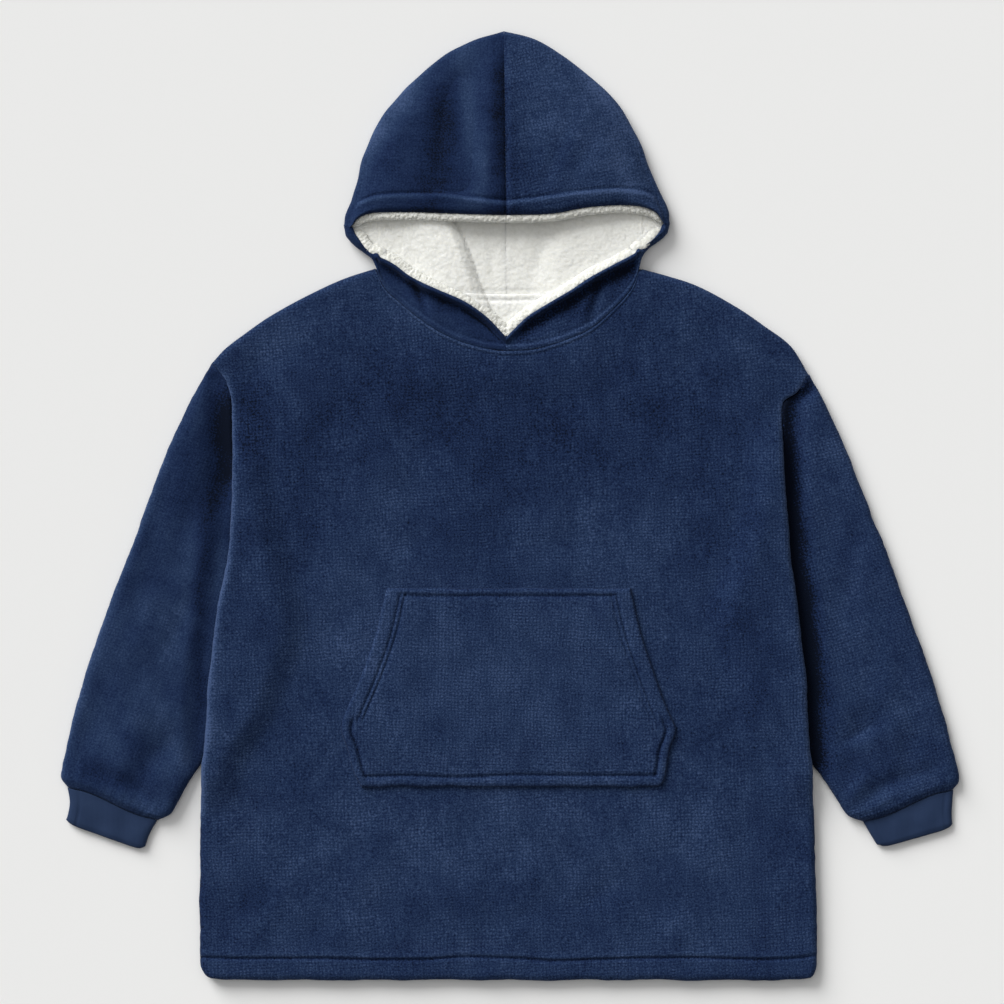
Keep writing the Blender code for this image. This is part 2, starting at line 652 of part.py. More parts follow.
def make_hood_lining(name, corner, crown, necks, side, cloth):
    columns = hood_columns(corner, crown, necks, side)[1:]
    folded = len(corner) - 1
    outline_normals = normals_of([c["outline"] for c in columns], (0, 1040), (0, -1))
    lower_normals = normals_of([c["lower"] for c in columns[: folded + 1]], (0, 1000))
    floor = FLANNEL + LAYER_GAP
    outer, inner = [], []
    for j, column in enumerate(columns):
        across_share = (j + 1) / len(columns)
        point = {key: np.array(column[key], float) for key in ("brim", "outline", "lower")}
        up_in = point["outline"] + outline_normals[j] * HOOD_FOLD
        low_in = point["lower"] + (lower_normals[j] * (CORNER_FOLD + 1.5) if j <= folded else 0)
        below, above = [], []
        for share in (0, 0.16, 0.32, 0.5, 0.75, 1):
            at = low_in + (up_in - low_in) * share
            below.append((*at, floor))
            above.append((*at, floor + SHERPA))
        edge = CROWN_EDGE_HEIGHT / 2
        reach = HOOD_FOLD - FLANNEL - LAYER_GAP - 0.2
        for turn in (-50, 0, 50):
            c, s = math.cos(math.radians(turn)), math.sin(math.radians(turn))
            below.append((*(up_in - outline_normals[j] * reach * c), edge + (edge - floor) * s))
            above.append((*(up_in + outline_normals[j] * 0.3 * (1 - c)), edge + (edge - floor - SHERPA) * s))
        ledge = np.array((0.0, -LEDGE))
        for share in (0, 0.07, 0.18, 0.32, 0.48, 0.64, 0.78, 0.9, 1, 1.5, 2):
            down = min(share, 1.0)
            past = max(share - 1, 0.0)
            at = up_in + (point["brim"] - up_in) * down + ledge * past * smooth(across_share * 5)
            top = crown_height(across_share, down, *(up_in + (point["brim"] - up_in) * down))
            sunk = LAYER_GAP + FLANNEL + 1.7 * smooth((down - 0.8) / 0.1)
            tuck = 1.5 * past
            below.append((*at, top - sunk - tuck))
            above.append((*at, top - sunk - SHERPA + 0.5 * past))
        outer.append(below)
        inner.append(above)
    turned_outer = [list(row) for row in zip(*outer)]
    turned_inner = [list(row) for row in zip(*inner)]
    add_wall(name, turned_outer, turned_inner, cloth)


def make_neck_facing(cloth):
    xs = [x for x in NECK_LEFT + NECK_RIGHT if abs(x) <= FACING_HALF + 4]
    outer, inner = [], []
    for share in (0, 0.3, 0.6, 0.85, 1):
        upper, under = [], []
        for x in xs:
            top = at_key(BACK_NECK, x) - 0.4
            y = FACING_LOW + (top - FACING_LOW) * share
            rim = 0.5 if share in (0, 1) or x in (xs[0], xs[-1]) else 0.0
            upper.append((x, y, BACK_TOP + LAYER_GAP + FACING_WALL - rim))
            under.append((x, y, BACK_TOP + LAYER_GAP))
        outer.append(upper)
        inner.append(under)
    add_wall("neck_facing", outer, inner, cloth)


def make_pocket(cloth):
    low, high = POCKET_SIDES[0][0], POCKET_SIDES[-1][0]
    outer, inner = [], []
    for step in POCKET_ROWS:
        y = low + step
        left, right = at_key(POCKET_SIDES, y), at_key(POCKET_SIDES, y, 2)
        xs = [left + s for s in POCKET_STEPS]
        start, end = xs[-1], right - POCKET_STEPS[-1]
        xs += [start + (end - start) * f for f in POCKET_FRACTIONS]
        xs += [right - s for s in reversed(POCKET_STEPS)]
        upper, under = [], []
        for x in xs:
            edge = min(x - left, right - x, y - low, high - y)
            side = abs(min(x - left, right - x) - POCKET_LINE)
            line = min(side, abs(y - low - POCKET_FOOT_LINE), abs(high - y - POCKET_TOP_LINE))
            base = front_height(x, y)
            raised = smooth((POCKET_LINE - edge) / 4)
            groove = -1.2 * math.exp(-((line / 2.0) ** 2))
            top = base + LAYER_GAP + POCKET_WALL + raised + groove - round_drop(edge, 6.0, 3.4)
            upper.append((x, y, top))
            under.append((x, y, base + LAYER_GAP))
        outer.append(upper)
        inner.append(under)
    add_wall("kangaroo_pocket", outer, inner, cloth)


def centre_on_origin():
    """The origin under the middle of the outline, on the table."""
    made = [ob for ob in bpy.data.objects if ob.type == "MESH"]
    points = np.array([vertex.co for ob in made for vertex in ob.data.vertices])
    low, high = points.min(axis=0), points.max(axis=0)
    shift = (-(low[0] + high[0]) / 2, -(low[1] + high[1]) / 2, -low[2])
    for ob in made:
        for vertex in ob.data.vertices:
            vertex.co.x += shift[0]
            vertex.co.y += shift[1]
            vertex.co.z += shift[2]


def build():
    for ob in list(bpy.data.objects):
        bpy.data.objects.remove(ob, do_unlink=True)
    flannel = fabric("navy_flannel", (0.014, 0.026, 0.075), 0.85)
    sherpa = fabric("white_sherpa", (0.78, 0.78, 0.74), 0.95)
    jersey = fabric("navy_jersey", (0.019, 0.034, 0.078), 0.8)
    make_back(flannel)
    make_front(flannel)
    make_sleeve("left_sleeve", LEFT_ARMHOLE, LEFT_OVERARM, LEFT_UNDERARM, flannel)
    make_sleeve("right_sleeve", RIGHT_ARMHOLE, RIGHT_OVERARM, RIGHT_UNDERARM, flannel)
    make_cuff("left_cuff", LEFT_CUFF, jersey)
    make_cuff("right_cuff", RIGHT_CUFF, jersey)
    right_necks = (NECK_LEFT[-1],) + NECK_RIGHT
    make_hood_half("left_hood", LEFT_CORNER, LEFT_CROWN, NECK_LEFT, -1, flannel)
    make_hood_half("right_hood", RIGHT_CORNER, RIGHT_CROWN, right_necks[::-1], 1, flannel)
    make_hood_lining("left_hood_lining", LEFT_CORNER, LEFT_CROWN, NECK_LEFT, -1, sherpa)
    make_hood_lining("right_hood_lining", RIGHT_CORNER, RIGHT_CROWN, right_necks[::-1], 1, sherpa)
    make_neck_facing(sherpa)
    make_pocket(flannel)
    centre_on_origin()


build()
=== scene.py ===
"""The looks of a wearable blanket hoodie that lies flat on a table, front up.

Plush flannel with its brushed, patchy nap, curly sherpa inside the hood, jersey cuffs, sewn seams and
the soft creases of cloth that has been laid out by hand.

Sizes are in millimetres: x from the centre front line, y up from the hem, z up from the table. Left
and right are as seen from above. place() turns them to the frame's metres.
"""

import functools
import math

import bmesh
import bpy
import numpy as np
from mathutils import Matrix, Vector, noise


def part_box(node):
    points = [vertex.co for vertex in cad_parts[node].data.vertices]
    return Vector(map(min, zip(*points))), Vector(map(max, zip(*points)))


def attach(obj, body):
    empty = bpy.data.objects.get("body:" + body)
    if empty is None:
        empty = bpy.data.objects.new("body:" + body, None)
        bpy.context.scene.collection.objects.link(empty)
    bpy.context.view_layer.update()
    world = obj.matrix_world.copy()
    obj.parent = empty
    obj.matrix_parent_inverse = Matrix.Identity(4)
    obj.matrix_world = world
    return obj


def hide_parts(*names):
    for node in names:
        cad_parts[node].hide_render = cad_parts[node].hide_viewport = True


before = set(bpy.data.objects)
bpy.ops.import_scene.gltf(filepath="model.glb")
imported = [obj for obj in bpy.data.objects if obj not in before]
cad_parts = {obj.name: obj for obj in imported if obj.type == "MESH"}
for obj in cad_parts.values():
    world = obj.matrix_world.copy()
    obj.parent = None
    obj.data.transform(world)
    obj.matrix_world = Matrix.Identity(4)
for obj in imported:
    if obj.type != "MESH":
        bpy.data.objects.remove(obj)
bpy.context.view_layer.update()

noise.seed_set(4)  # the curls come out the same each run

MM = 0.001
CENTRE = -3  # the V and the hood's centre seam, across

# Cloth, in millimetres
WALL = 8.1  # flannel and sherpa together, in the body
FLANNEL = 3.2  # the hood's outer cloth alone
SHERPA = 4.9  # the hood's lining alone
SEAM_GAP = 0.6
LAYER_GAP = 0.4
BODY_EDGE = 14.0  # a hem, side or shoulder keeps its round within this
ROUND = 9.0  # how far the round reaches in
EDGE_WALL = 1.3
PRESSED = 10.0  # height of a sleeve where the body lies on it
BACK_TOP = WALL + LAYER_GAP
FRONT_UNDER = BACK_TOP + LAYER_GAP
FRONT_TOP = FRONT_UNDER + WALL
MIDDLE = (BACK_TOP + FRONT_UNDER) / 2

# Sides of the body: up from the hem, and the edge's distance from the centre line
LEFT_SIDE = (
    (0, -372), (3, -388), (10, -395), (19, -399), (60, -400), (195, -399), (272, -398), (298, -394),
    (385, -388), (489, -375), (544, -364), (603, -359), (661, -357), (739, -358), (762, -361),
    (783, -371.5), (799, -384.5),
)
RIGHT_SIDE = (
    (0, 377), (3, 392), (10, 397), (19, 400), (60, 400), (195, 396), (272, 393), (298, 390),
    (385, 385), (489, 373), (544, 366), (603, 361), (661, 357), (733, 354), (748, 356),
    (763, 375.5), (783, 389),
)

# Shoulders, the front neck seam and the back neck seam: across, and up from the hem
LEFT_SHOULDER = (
    (-384.5, 799), (-368, 817), (-342, 837), (-309, 860), (-250, 892), (-212, 909), (-172, 922),
)
RIGHT_SHOULDER = (
    (170, 922), (203, 913), (238, 902), (297, 871), (332, 847), (366, 821), (389, 783),
)
FRONT_NECK = (
    (-172, 922), (-162, 898), (-139, 876), (-112, 854), (-83, 836), (-50, 823), (-3, 814.5),
    (28, 816), (63, 825), (104, 842), (138, 871), (161, 898), (170, 922),
)
BACK_NECK = (
    (-172, 922), (-128, 903), (-89, 893), (-45, 887), (-3, 886), (49, 887), (86, 894), (125, 904),
    (170, 922),
)
NECK_LEFT = (-172, -166, -157, -145, -130, -110, -86, -58, -30, -3)
NECK_RIGHT = (170, 164, 155, 143, 128, 105, 80, 52, 24, -3)
SHOULDER_END = 60.0

# How far a sleeve runs in under the body's side: up from the hem, and the width that is hidden
TUCK = (
    (0, 0), (250, 0), (285, 5), (345, 37), (405, 56), (455, 65), (490, 60), (540, 32), (610, 9),
    (661, 0), (800, 0),
)
TUCK_RISE = ((0, 0), (205, 0), (272, 1), (655, 1), (745, 0), (930, 0))
TUCK_SPARE = 14.0
TUCK_RAMP = 46.0

# The armholes, from the shoulder tip to the underarm, just outside the body's edge
LEFT_ARMHOLE = (
    (-385.3, 799), (-372.3, 784), (-360, 764), (-352, 742), (-338, 700), (-330, 655), (-326, 600),
    (-325, 540), (-323, 455),
)
RIGHT_ARMHOLE = (
    (391, 785), (378, 766), (354.5, 750), (348, 735), (337, 700), (330, 655), (326, 600),
    (325, 540), (323, 455),
)

# Long edges of the sleeves, armhole to hem, and of the cuffs, seam to opening
LEFT_OVERARM = (
    (-385.3, 799), (-417, 741), (-436, 700), (-468, 617), (-483, 575), (-515, 493), (-544, 410),
    (-566, 335), (-574, 296), (-580, 264), (-572, 250),
)
LEFT_UNDERARM = (
    (-323, 455), (-330, 405), (-360, 345), (-395, 285), (-414, 257), (-430, 228), (-438, 215),
    (-455, 207),
)
RIGHT_OVERARM = (
    (391, 785), (423, 720), (441, 679), (473, 596), (490, 555), (520, 472), (546, 400),
    (568, 329), (579, 285), (585, 259), (577, 247),
)
RIGHT_UNDERARM = (
    (323, 455), (330, 405), (358, 345), (390, 285), (408, 260), (425, 235), (440, 213),
    (460, 205),
)
LEFT_CUFF = (((-572, 250), (-569, 230), (-574, 203)), ((-455, 207), (-465, 190), (-473, 167)))
RIGHT_CUFF = (((577, 247), (575, 215), (576, 197)), ((460, 205), (471, 186), (481, 170)))
SLEEVE_WIDEST = 235.0
SLEEVE_LENGTH = 560
SLEEVE_WALL = 8.0
SLEEVE_EDGE = 13.0
SLEEVE_HEM_HEIGHT = 11.0
SLEEVE_CLOSING = 0.93
CUFF_WIDEST = 125.0
CUFF_HEIGHT = 8.6
CUFF_WALL = 3.4
CUFF_EDGE = 9.5
CUFF_START = 0.012

# Hood, corner columns: brim, outline, lower outline and face edge, each as across, up
LEFT_CORNER = (
    ((-203, 976.9), (-213.4, 977.1), (-213.4, 976.3), (-203, 976.4)),
    ((-201, 978.5), (-212.5, 980), (-212.5, 973), (-201, 974)),
    ((-197, 984), (-212, 988), (-211, 965), (-199, 968)),
    ((-190, 989), (-209, 998), (-206, 958), (-194, 961)),
    ((-181, 992), (-204, 1009), (-198, 950), (-187.5, 951.5)),
    ((-171, 993.5), (-200, 1021), (-187, 942), (-180, 944)),
)
RIGHT_CORNER = (
    ((201, 980.9), (209.4, 981.1), (209.4, 980.3), (201, 980.4)),
    ((199, 983), (208.5, 985), (208.5, 977), (199, 978)),
    ((195.5, 989), (208, 992), (206.5, 969), (196, 971)),
    ((189, 995), (205.5, 1001), (201, 962), (190, 963)),
    ((180, 999), (201, 1011), (192, 955), (182, 955)),
    ((170, 1001.5), (196, 1022), (181, 947), (174, 948.5)),
)
# Hood, columns that start at the neck seam: brim across, and the outline's point
LEFT_CROWN = (
    (-160, (-196, 1035)), (-146, (-191, 1060)), (-134, (-183, 1081)), (-120, (-172, 1104)),
    (-105, (-158, 1127)), (-88, (-140, 1149)), (-69, (-117, 1170)), (-48, (-88, 1195)),
    (-26, (-46, 1217.5)), (-3, (-6, 1229.6)),
)
RIGHT_CROWN = (
    (161, (192, 1031)), (146, (181, 1057)), (133, (173, 1079)), (119, (163, 1100)),
    (104, (150, 1124)), (85, (131, 1148)), (64, (104, 1172)), (42, (70, 1198)), (20, (31, 1221)),
    (-3, (-6, 1229.6)),
)
BRIM = (
    (-204, 977), (-187, 990), (-168, 994), (-134, 994), (-78, 992), (-3, 990), (49, 991), (104, 1000),
    (147, 1003), (175, 1001), (192, 994), (200, 982),
)
# The brim's stitched line: across, up
BRIM_STITCH = (
    (-215, 1003), (-197, 1008), (-168, 1017), (-125, 1019), (-91, 1019), (-50, 1014), (-3, 1009.5),
    (34, 1013), (91, 1021), (142, 1025), (175, 1022), (195, 1014), (210, 1008),
)
# Depth of the brim's hem: across, and from the edge to the stitched line
BRIM_HEM = (
    (-210, 22), (-168, 24), (-125, 25), (-91, 26), (-50, 22), (-3, 19.5), (34, 22), (91, 22.5),
    (142, 22), (175, 21), (206, 20),
)
FACE_EDGE = (
    (-203, 974), (-182, 946), (-148, 927), (-125, 910), (-91, 894), (-61, 881), (-36, 865), (-14, 847),
    (-3, 833), (12, 847), (29, 863), (51, 876), (80, 893), (104, 909), (133, 925), (161, 940),
    (188, 959), (200, 977),
)
HOOD_FOLD = 8.0
CORNER_FOLD = 5.5
CROWN_EDGE_HEIGHT = 18.6
CROWN_LOWEST = 2.0  # the crown's rise at the corners
CROWN_SEAM = (-3.2, 1009, 0.0177)  # the centre seam: across, up, and how much it leans
BRIM_HEIGHT = 37.0
LEDGE = 9.0
COLUMNS = 6  # fine columns of a hood half to each of its tables' rows
LINING_COLUMNS = 13
LINING_START = 20  # the lining's first column, clear of the hood's corner

# Neck facing
FACING_HALF = 84.0
FACING_LOW = 800.0
FACING_WALL = 2.8
FACING_LIFT = 3.3

# Kangaroo pocket: up from the hem, left edge, right edge
POCKET_SIDES = (
    (251, -190, 194), (256, -193, 200), (270, -200, 204), (300, -208, 209), (325, -216, 217),
    (336, -215, 213), (349, -210, 207), (394, -191, 190), (452, -171, 171), (499, -160, 160),
    (508, -157, 158),
)
POCKET_WALL = 5.0
POCKET_ELBOW = 338.0  # where the slanted opening ends
POCKET_TWIN = (20.5, 26.6)  # the opening's two stitched lines, in from its edge
POCKET_SIDE_LINE = 13.0
POCKET_FOOT_LINE = 14.5
POCKET_TOP_LINE = 9.0

# The hem's stitched line: across, and up from the edge
HEM_LINE = (
    (-400, 30), (-346, 28.6), (-249, 28.8), (-174, 27), (-112, 27.4), (-55, 30.6), (14, 28.6),
    (58, 25.6), (120, 27.6), (230, 29.6), (333, 27.4), (371, 29), (400, 33),
)

# Stitched and sewn grooves: half width and depth
HEM_GROOVE, NECK_GROOVE = (1.9, 2.3), (2.0, 0.6)
BRIM_GROOVE, CROWN_GROOVE = (1.8, 1.8), (3.2, 3.2)
COLLAR_LINE, COLLAR_SEAM, COLLAR_GROOVE = (1.4, 1.2), (1.2, 1.2), (1.6, 0.9)
TWIN_GROOVE, SIDE_GROOVE, FOOT_GROOVE, TOP_GROOVE = (1.3, 1.5), (1.9, 3.0), (2.0, 2.6), (1.9, 1.8)
CUFF_GROOVE = (1.1, 1.1)
# Rounded edges: how far the round reaches in, and its depth
COLLAR_ROUND, BRIM_TURN, POCKET_ROUND, SLEEVE_END = (5.0, 4.6), (12.0, 8.4), (5.0, 4.0), (7.0, 3.2)
# Spacing of the points, for fine cloth and for what is hidden
FRONT_STEP, BACK_STEP, SLEEVE_STEP, CUFF_STEP = 4.7, 9.0, 4.8, 2.8

# Soft folds of the body and hood: across, up, half length, half width, turn in degrees, rise
SOFT_FOLDS = (
    (-318, 800, 60, 20, 20, -2.2),
    (-300, 640, 170, 40, 84, 2.2),
    (300, 650, 170, 40, 96, 2.0),
    (-70, 100, 40, 20, 120, 2.2),
    (110, 112, 60, 24, 20, -1.8),
    (-105, 1085, 80, 30, 78, -3.0),
    (-30, 1110, 95, 18, 88, 2.4),
    (95, 1080, 80, 36, 104, 1.8),
)
# Smaller ones, over those
BODY_CREASES = (
    (-42, 108, 26, 8, 115, 1.5),
    (-66, 92, 22, 9, 100, -1.4),
    (20, 84, 22, 12, 20, -1.2),
    (106, 104, 30, 10, 30, -1.3),
    (356, 60, 46, 16, 70, -1.3),
    (-352, 88, 60, 20, 66, -1.2),
    (-300, 100, 44, 12, 60, 1.0),
    (-240, 70, 36, 14, 40, -0.9),
    (-180, 150, 70, 22, 62, 0.9),
    (210, 170, 90, 20, 110, 0.9),
    (300, 250, 120, 24, 100, -1.0),
    (-318, 300, 110, 26, 82, -1.1),
    (-270, 420, 120, 24, 74, 0.9),
    (250, 430, 110, 26, 104, 0.9),
    (-120, 640, 110, 26, 92, -1.0),
    (-20, 700, 120, 30, 86, 0.9),
    (80, 640, 120, 26, 94, -1.0),
    (150, 740, 80, 22, 60, 0.8),
    (-200, 760, 90, 24, 130, 0.9),
    (240, 800, 70, 18, 150, -1.0),
    (-345, 745, 40, 12, 70, -1.6),
    (345, 745, 44, 12, 112, -1.6),
    (0, 560, 160, 20, 2, -0.7),
)
SLEEVE_CREASES = (
    (-560, 300, 40, 22, 60, -2.4),
    (-500, 285, 46, 20, 80, 2.2),
    (-455, 292, 34, 16, 50, -2.4),
    (-430, 560, 90, 26, 62, -2.0),
    (440, 560, 90, 26, 118, -2.0),
    (515, 290, 30, 18, 100, -2.6),
    (462, 336, 44, 18, 30, -2.2),
    (-515, 262, 38, 11, 152, -2.6),
    (-478, 244, 34, 10, 128, -2.2),
    (-452, 262, 40, 10, 118, 1.8),
    (-440, 300, 40, 9, 128, -1.8),
    (-486, 330, 46, 13, 112, 1.2),
    (-530, 360, 60, 14, 74, -1.0),
    (-420, 470, 60, 14, 60, -1.2),
    (-470, 470, 80, 16, 70, 1.0),
    (-400, 660, 60, 14, 64, 1.0),
    (520, 262, 40, 12, 20, -2.6),
    (480, 246, 34, 10, 40, -1.8),
    (455, 320, 26, 7, 28, -1.8),
    (452, 250, 30, 9, 50, 1.4),
    (500, 330, 60, 15, 96, 1.2),
    (430, 470, 70, 14, 112, -1.2),
    (480, 480, 80, 16, 110, 1.0),
    (405, 660, 60, 14, 116, 1.0),
    (398, 400, 60, 10, 108, -1.2),
)
HOOD_CREASES = (
    (-68, 1080, 108, 24, 87, -8.0),
    (-24, 1085, 104, 13, 91, 2.6),
    (-118, 1105, 80, 24, 72, 2.4),
    (-150, 1075, 56, 14, 70, 1.2),
    (-168, 1040, 26, 12, 60, -0.8),
    (28, 1085, 80, 9, 92, -0.9),
    (60, 1060, 46, 9, 66, -1.3),
    (76, 1075, 46, 9, 66, 1.1),
    (94, 1058, 40, 9, 64, -1.1),
    (128, 1075, 50, 12, 108, 0.9),
    (30, 1180, 36, 10, 160, -0.9),
)
COLLAR_CREASES = (
    (-118, 893, 24, 5.5, 112, -3.4),
    (-104, 888, 26, 8, 112, 2.2),
    (116, 886, 32, 5.5, 74, -3.4),
    (103, 886, 32, 8, 74, 2.2),
    (150, 905, 26, 7, 50, -1.2),
    (-150, 905, 22, 7, 130, -1.0),
    (40, 842, 26, 8, 30, -1.0),
)
LINING_FOLDS = (
    (-100, 952, 70, 26, 150, 1.2),
    (20, 958, 26, 9, 96, 1.0),
    (44, 950, 30, 8, 70, -1.2),
    (96, 958, 60, 26, 34, 1.2),
    (-22, 930, 26, 6, 96, -0.9),
)

# Patches of painted shade (below 0) and painted highlight: shade in creases, valleys, the collar's
# # hollows and along edges, lit and shaded sides of folds, and some brushed nap: across, up, half
# # length, half width, turn in degrees, tone
NAP_AND_PAINTED_SHADE = (
    (-150, 760, 150, 60, 20, -0.55),
    (60, 700, 190, 70, 170, -0.45),
    (-40, 620, 90, 60, 90, -0.40),
    (200, 760, 120, 50, 160, -0.40),
    (-280, 600, 110, 50, 80, -0.45),
    (270, 590, 120, 50, 95, -0.30),
    (300, 430, 130, 50, 85, -0.35),
    (-110, 850, 120, 20, 150, 0.25),
    (-300, 830, 80, 26, 35, 0.30),
    (-200, 470, 130, 70, 70, 0.30),
    (120, 560, 60, 80, 80, 0.25),
    (-90, 180, 220, 90, 10, 0.25),
    (180, 160, 170, 70, 170, 0.25),
    (-40, 112, 60, 22, 20, -0.30),
    (110, 100, 70, 20, 20, -0.30),
    (340, 90, 110, 30, 80, -0.35),
    (-340, 90, 70, 26, 60, -0.30),
    (-380, 330, 120, 12, 88, 0.30),
    (0, 400, 150, 60, 0, 0.25),
    (-88, 1085, 105, 26, 84, -1.1),
    (-142, 1138, 95, 14, 53, 1.3),
    (-184, 1062, 40, 13, 68, 0.8),
    (-148, 1046, 34, 24, 110, -0.5),
    (-52, 1124, 66, 11, 93, 1.2),
    (-34, 1044, 36, 9, 86, 0.8),
    (-14, 1105, 120, 9, 91, -0.85),
    (6, 1075, 64, 9, 90, -0.9),
    (28, 1036, 34, 18, 80, -0.8),
    (152, 1044, 40, 14, 110, 0.9),
    (-336, 725, 70, 24, 90, -0.9),
    (-420, 475, 30, 8, 143, 0.5),
    (-401, 493, 22, 12, 110, -0.4),
    (-414, 533, 34, 12, 70, 0.4),
    (-372, 545, 40, 8, 88, 0.7),
    (-474, 309, 24, 12, 150, -0.5),
    (-543, 275, 22, 14, 10, -0.4),
    (-428, 305, 50, 12, 120, 0.4),
    (-70, 1186, 40, 12, 40, 0.5),
    (128, 1140, 110, 12, 130, 1.0),
    (186, 1060, 50, 12, 106, 0.7),
    (90, 1110, 100, 50, 110, 0.25),
    (70, 1050, 50, 14, 66, -0.30),
    (-117, 887, 24, 4.5, 111, -0.9),
    (-107, 889, 22, 6, 111, 0.4),
    (108, 884, 30, 6, 73, -0.6),
    (121, 888, 28, 6, 73, 0.5),
    (-70, 865, 60, 16, 150, -0.30),
    (90, 865, 60, 18, 35, -0.50),
    (-150, 905, 30, 14, 110, -0.35),
    (150, 905, 30, 14, 70, -0.45),
    (-420, 640, 90, 26, 64, -0.45),
    (-372, 560, 110, 18, 84, -0.45),
    (-520, 262, 46, 14, 160, -0.60),
    (-478, 290, 50, 12, 125, -0.40),
    (-540, 400, 90, 20, 72, 0.30),
    (-450, 420, 90, 22, 70, 0.20),
    (-560, 270, 30, 10, 80, 0.40),
    (-470, 225, 50, 9, 150, 0.45),
    (385, 520, 150, 18, 96, -0.75),
    (400, 400, 90, 16, 100, -0.60),
    (460, 640, 90, 24, 116, 0.25),
    (530, 300, 60, 16, 20, -0.40),
    (500, 240, 50, 10, 25, 0.25),
    (560, 330, 80, 14, 105, 0.25),
)

# What the pieces of each side are cut from, and that side's way out from the centre line
SIDES = {
    "left": {
        "way": -1, "armhole": LEFT_ARMHOLE, "overarm": LEFT_OVERARM, "underarm": LEFT_UNDERARM,
        "cuff": LEFT_CUFF, "cuff_seams": (0.13,),
        "corner": LEFT_CORNER, "crown": LEFT_CROWN, "necks": NECK_LEFT,
    },
    "right": {
        "way": 1, "armhole": RIGHT_ARMHOLE, "overarm": RIGHT_OVERARM, "underarm": RIGHT_UNDERARM,
        "cuff": RIGHT_CUFF, "cuff_seams": (0.10, 0.90),
        "corner": RIGHT_CORNER, "crown": RIGHT_CROWN, "necks": NECK_RIGHT,
    },
}


def smooth(share):
    """0 to 1 with soft ends."""
    share = np.clip(share, 0.0, 1.0)
    return share * share * (3 - 2 * share)


def curve(table, column=1):
    """A smooth curve through a table's rows that never swings past them."""
    rows = np.array(table, float)
    keys, values = rows[:, 0], rows[:, column]
    slopes = np.diff(values) / np.diff(keys)
    before, after = slopes[:-1], slopes[1:]
    turning = before * after <= 0
    total = np.where(turning, 1.0, before + after)
    inner = np.where(turning, 0.0, 2 * before * after / total)
    tangents = np.concatenate([slopes[:1], inner, slopes[-1:]])

    def value(at):
        at = np.clip(at, keys[0], keys[-1])
        i = np.clip(np.searchsorted(keys, at, side="right") - 1, 0, len(keys) - 2)
        span = keys[i + 1] - keys[i]
        t = (at - keys[i]) / span
        ends = values[i] * (1 + 2 * t) * (1 - t) ** 2 + values[i + 1] * t * t * (3 - 2 * t)
        return ends + span * t * (1 - t) * (tangents[i] * (1 - t) - tangents[i + 1] * t)

    return value


def path(points):
    """A smooth plan path: gives the points at shares of its length."""
    line = np.array(points, float)
    lengths = np.concatenate([[0], np.cumsum(np.linalg.norm(np.diff(line, axis=0), axis=1))])
    keyed = np.column_stack([lengths / lengths[-1], line])
    across, up = curve(keyed, 1), curve(keyed, 2)
    return lambda share: np.stack([across(share), up(share)], axis=-1)


def finer(points, count):
    """Points on a smooth curve through some points, count to each stretch between two."""
    points = np.array(points, float)
    if points.ndim == 1:
        return finer(points[:, None], count)[:, 0]
    keyed = np.column_stack([np.arange(len(points)), points])
    at = np.linspace(0, len(points) - 1, (len(points) - 1) * count + 1)
    return np.column_stack([curve(keyed, k + 1)(at) for k in range(points.shape[1])])


def steps_between(start, end, step, near=(0,)):
    """Stations from start to end: the near ones at both ends, and even steps between them."""
    low, high = start + near[-1], end - near[-1]
    middle = np.linspace(low, high, max(2, round((high - low) / step) + 1))
    return np.concatenate([[start + n for n in near[:-1]], middle, [end - n for n in near[-2::-1]]])


def normals_of(points, towards, last=None):
    """Unit normals of a plan polyline, all on the side of a given point. last sets the end one."""
    line = np.array(points, float)
    run = np.gradient(line, axis=0)
    side = np.stack([-run[:, 1], run[:, 0]], axis=1)
    side /= np.linalg.norm(side, axis=1)[:, None]
    side *= np.sign(((np.array(towards) - line) * side).sum(axis=1))[:, None]
    if last is not None:
        side[-1] = last
    return side


def round_drop(distance, reach, depth):
    """How far a surface has come down at a distance in from a rounded edge."""
    inward = np.clip(distance / reach, 0.0, 1.0)
    return depth * (1 - np.sqrt(1 - (1 - inward) ** 2))


def bell(distance, half_width):
    """1 on a line, falling softly to 0 on both sides of it."""
    return np.exp(-((distance / half_width) ** 2))


def dent(distance, half_width, depth):
    """A soft groove along a line."""
    return -depth * bell(distance, half_width)


def soft_spots(table, x, y):
    """The sum of soft oval spots: across, up, half length, half width, turn, amount."""
    total = np.zeros(np.broadcast(x, y).shape)
    for across, up, length, width, turn, amount in table:
        c, s = math.cos(math.radians(turn)), math.sin(math.radians(turn))
        along = ((x - across) * c + (y - up) * s) / length
        over = ((y - up) * c - (x - across) * s) / width
        total = total + amount * np.exp(-(along * along + over * over))
    return total


def uneven(x, y, size, seed):
    """Smooth unevenness from about -1 to 1, with lumps of about that size."""
    picks = np.random.default_rng(seed)
    total = 0.0
    for _ in range(7):
        turn, shift = picks.uniform(0, 2 * math.pi, 2)
        length = 2 * size * picks.uniform(0.7, 1.5)
        total = total + np.sin((x * math.cos(turn) + y * math.sin(turn)) * 2 * math.pi / length + shift)
    return total / 3.5


LEFT_EDGE, RIGHT_EDGE = curve(LEFT_SIDE), curve(RIGHT_SIDE)
LEFT_TOP, RIGHT_TOP = curve(LEFT_SHOULDER), curve(RIGHT_SHOULDER)
FRONT_SEAM, BACK_SEAM = curve(FRONT_NECK), curve(BACK_NECK)
HIDDEN, LIFTED = curve(TUCK), curve(TUCK_RISE)
POCKET_LEFT, POCKET_RIGHT = curve(POCKET_SIDES, 1), curve(POCKET_SIDES, 2)
STITCHED_HEM, BRIM_EDGE, BRIM_DEPTH = curve(HEM_LINE), curve(BRIM), curve(BRIM_HEM)
BRIM_SEAM = curve(BRIM_STITCH)
FACE = curve(FACE_EDGE)

# The frame's place for the tables' zero: the front panel's leftmost and lowest edges
SHIFT = np.array([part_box("front_panel")[0][0] / MM + 400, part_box("front_panel")[0][1] / MM, 0.0])


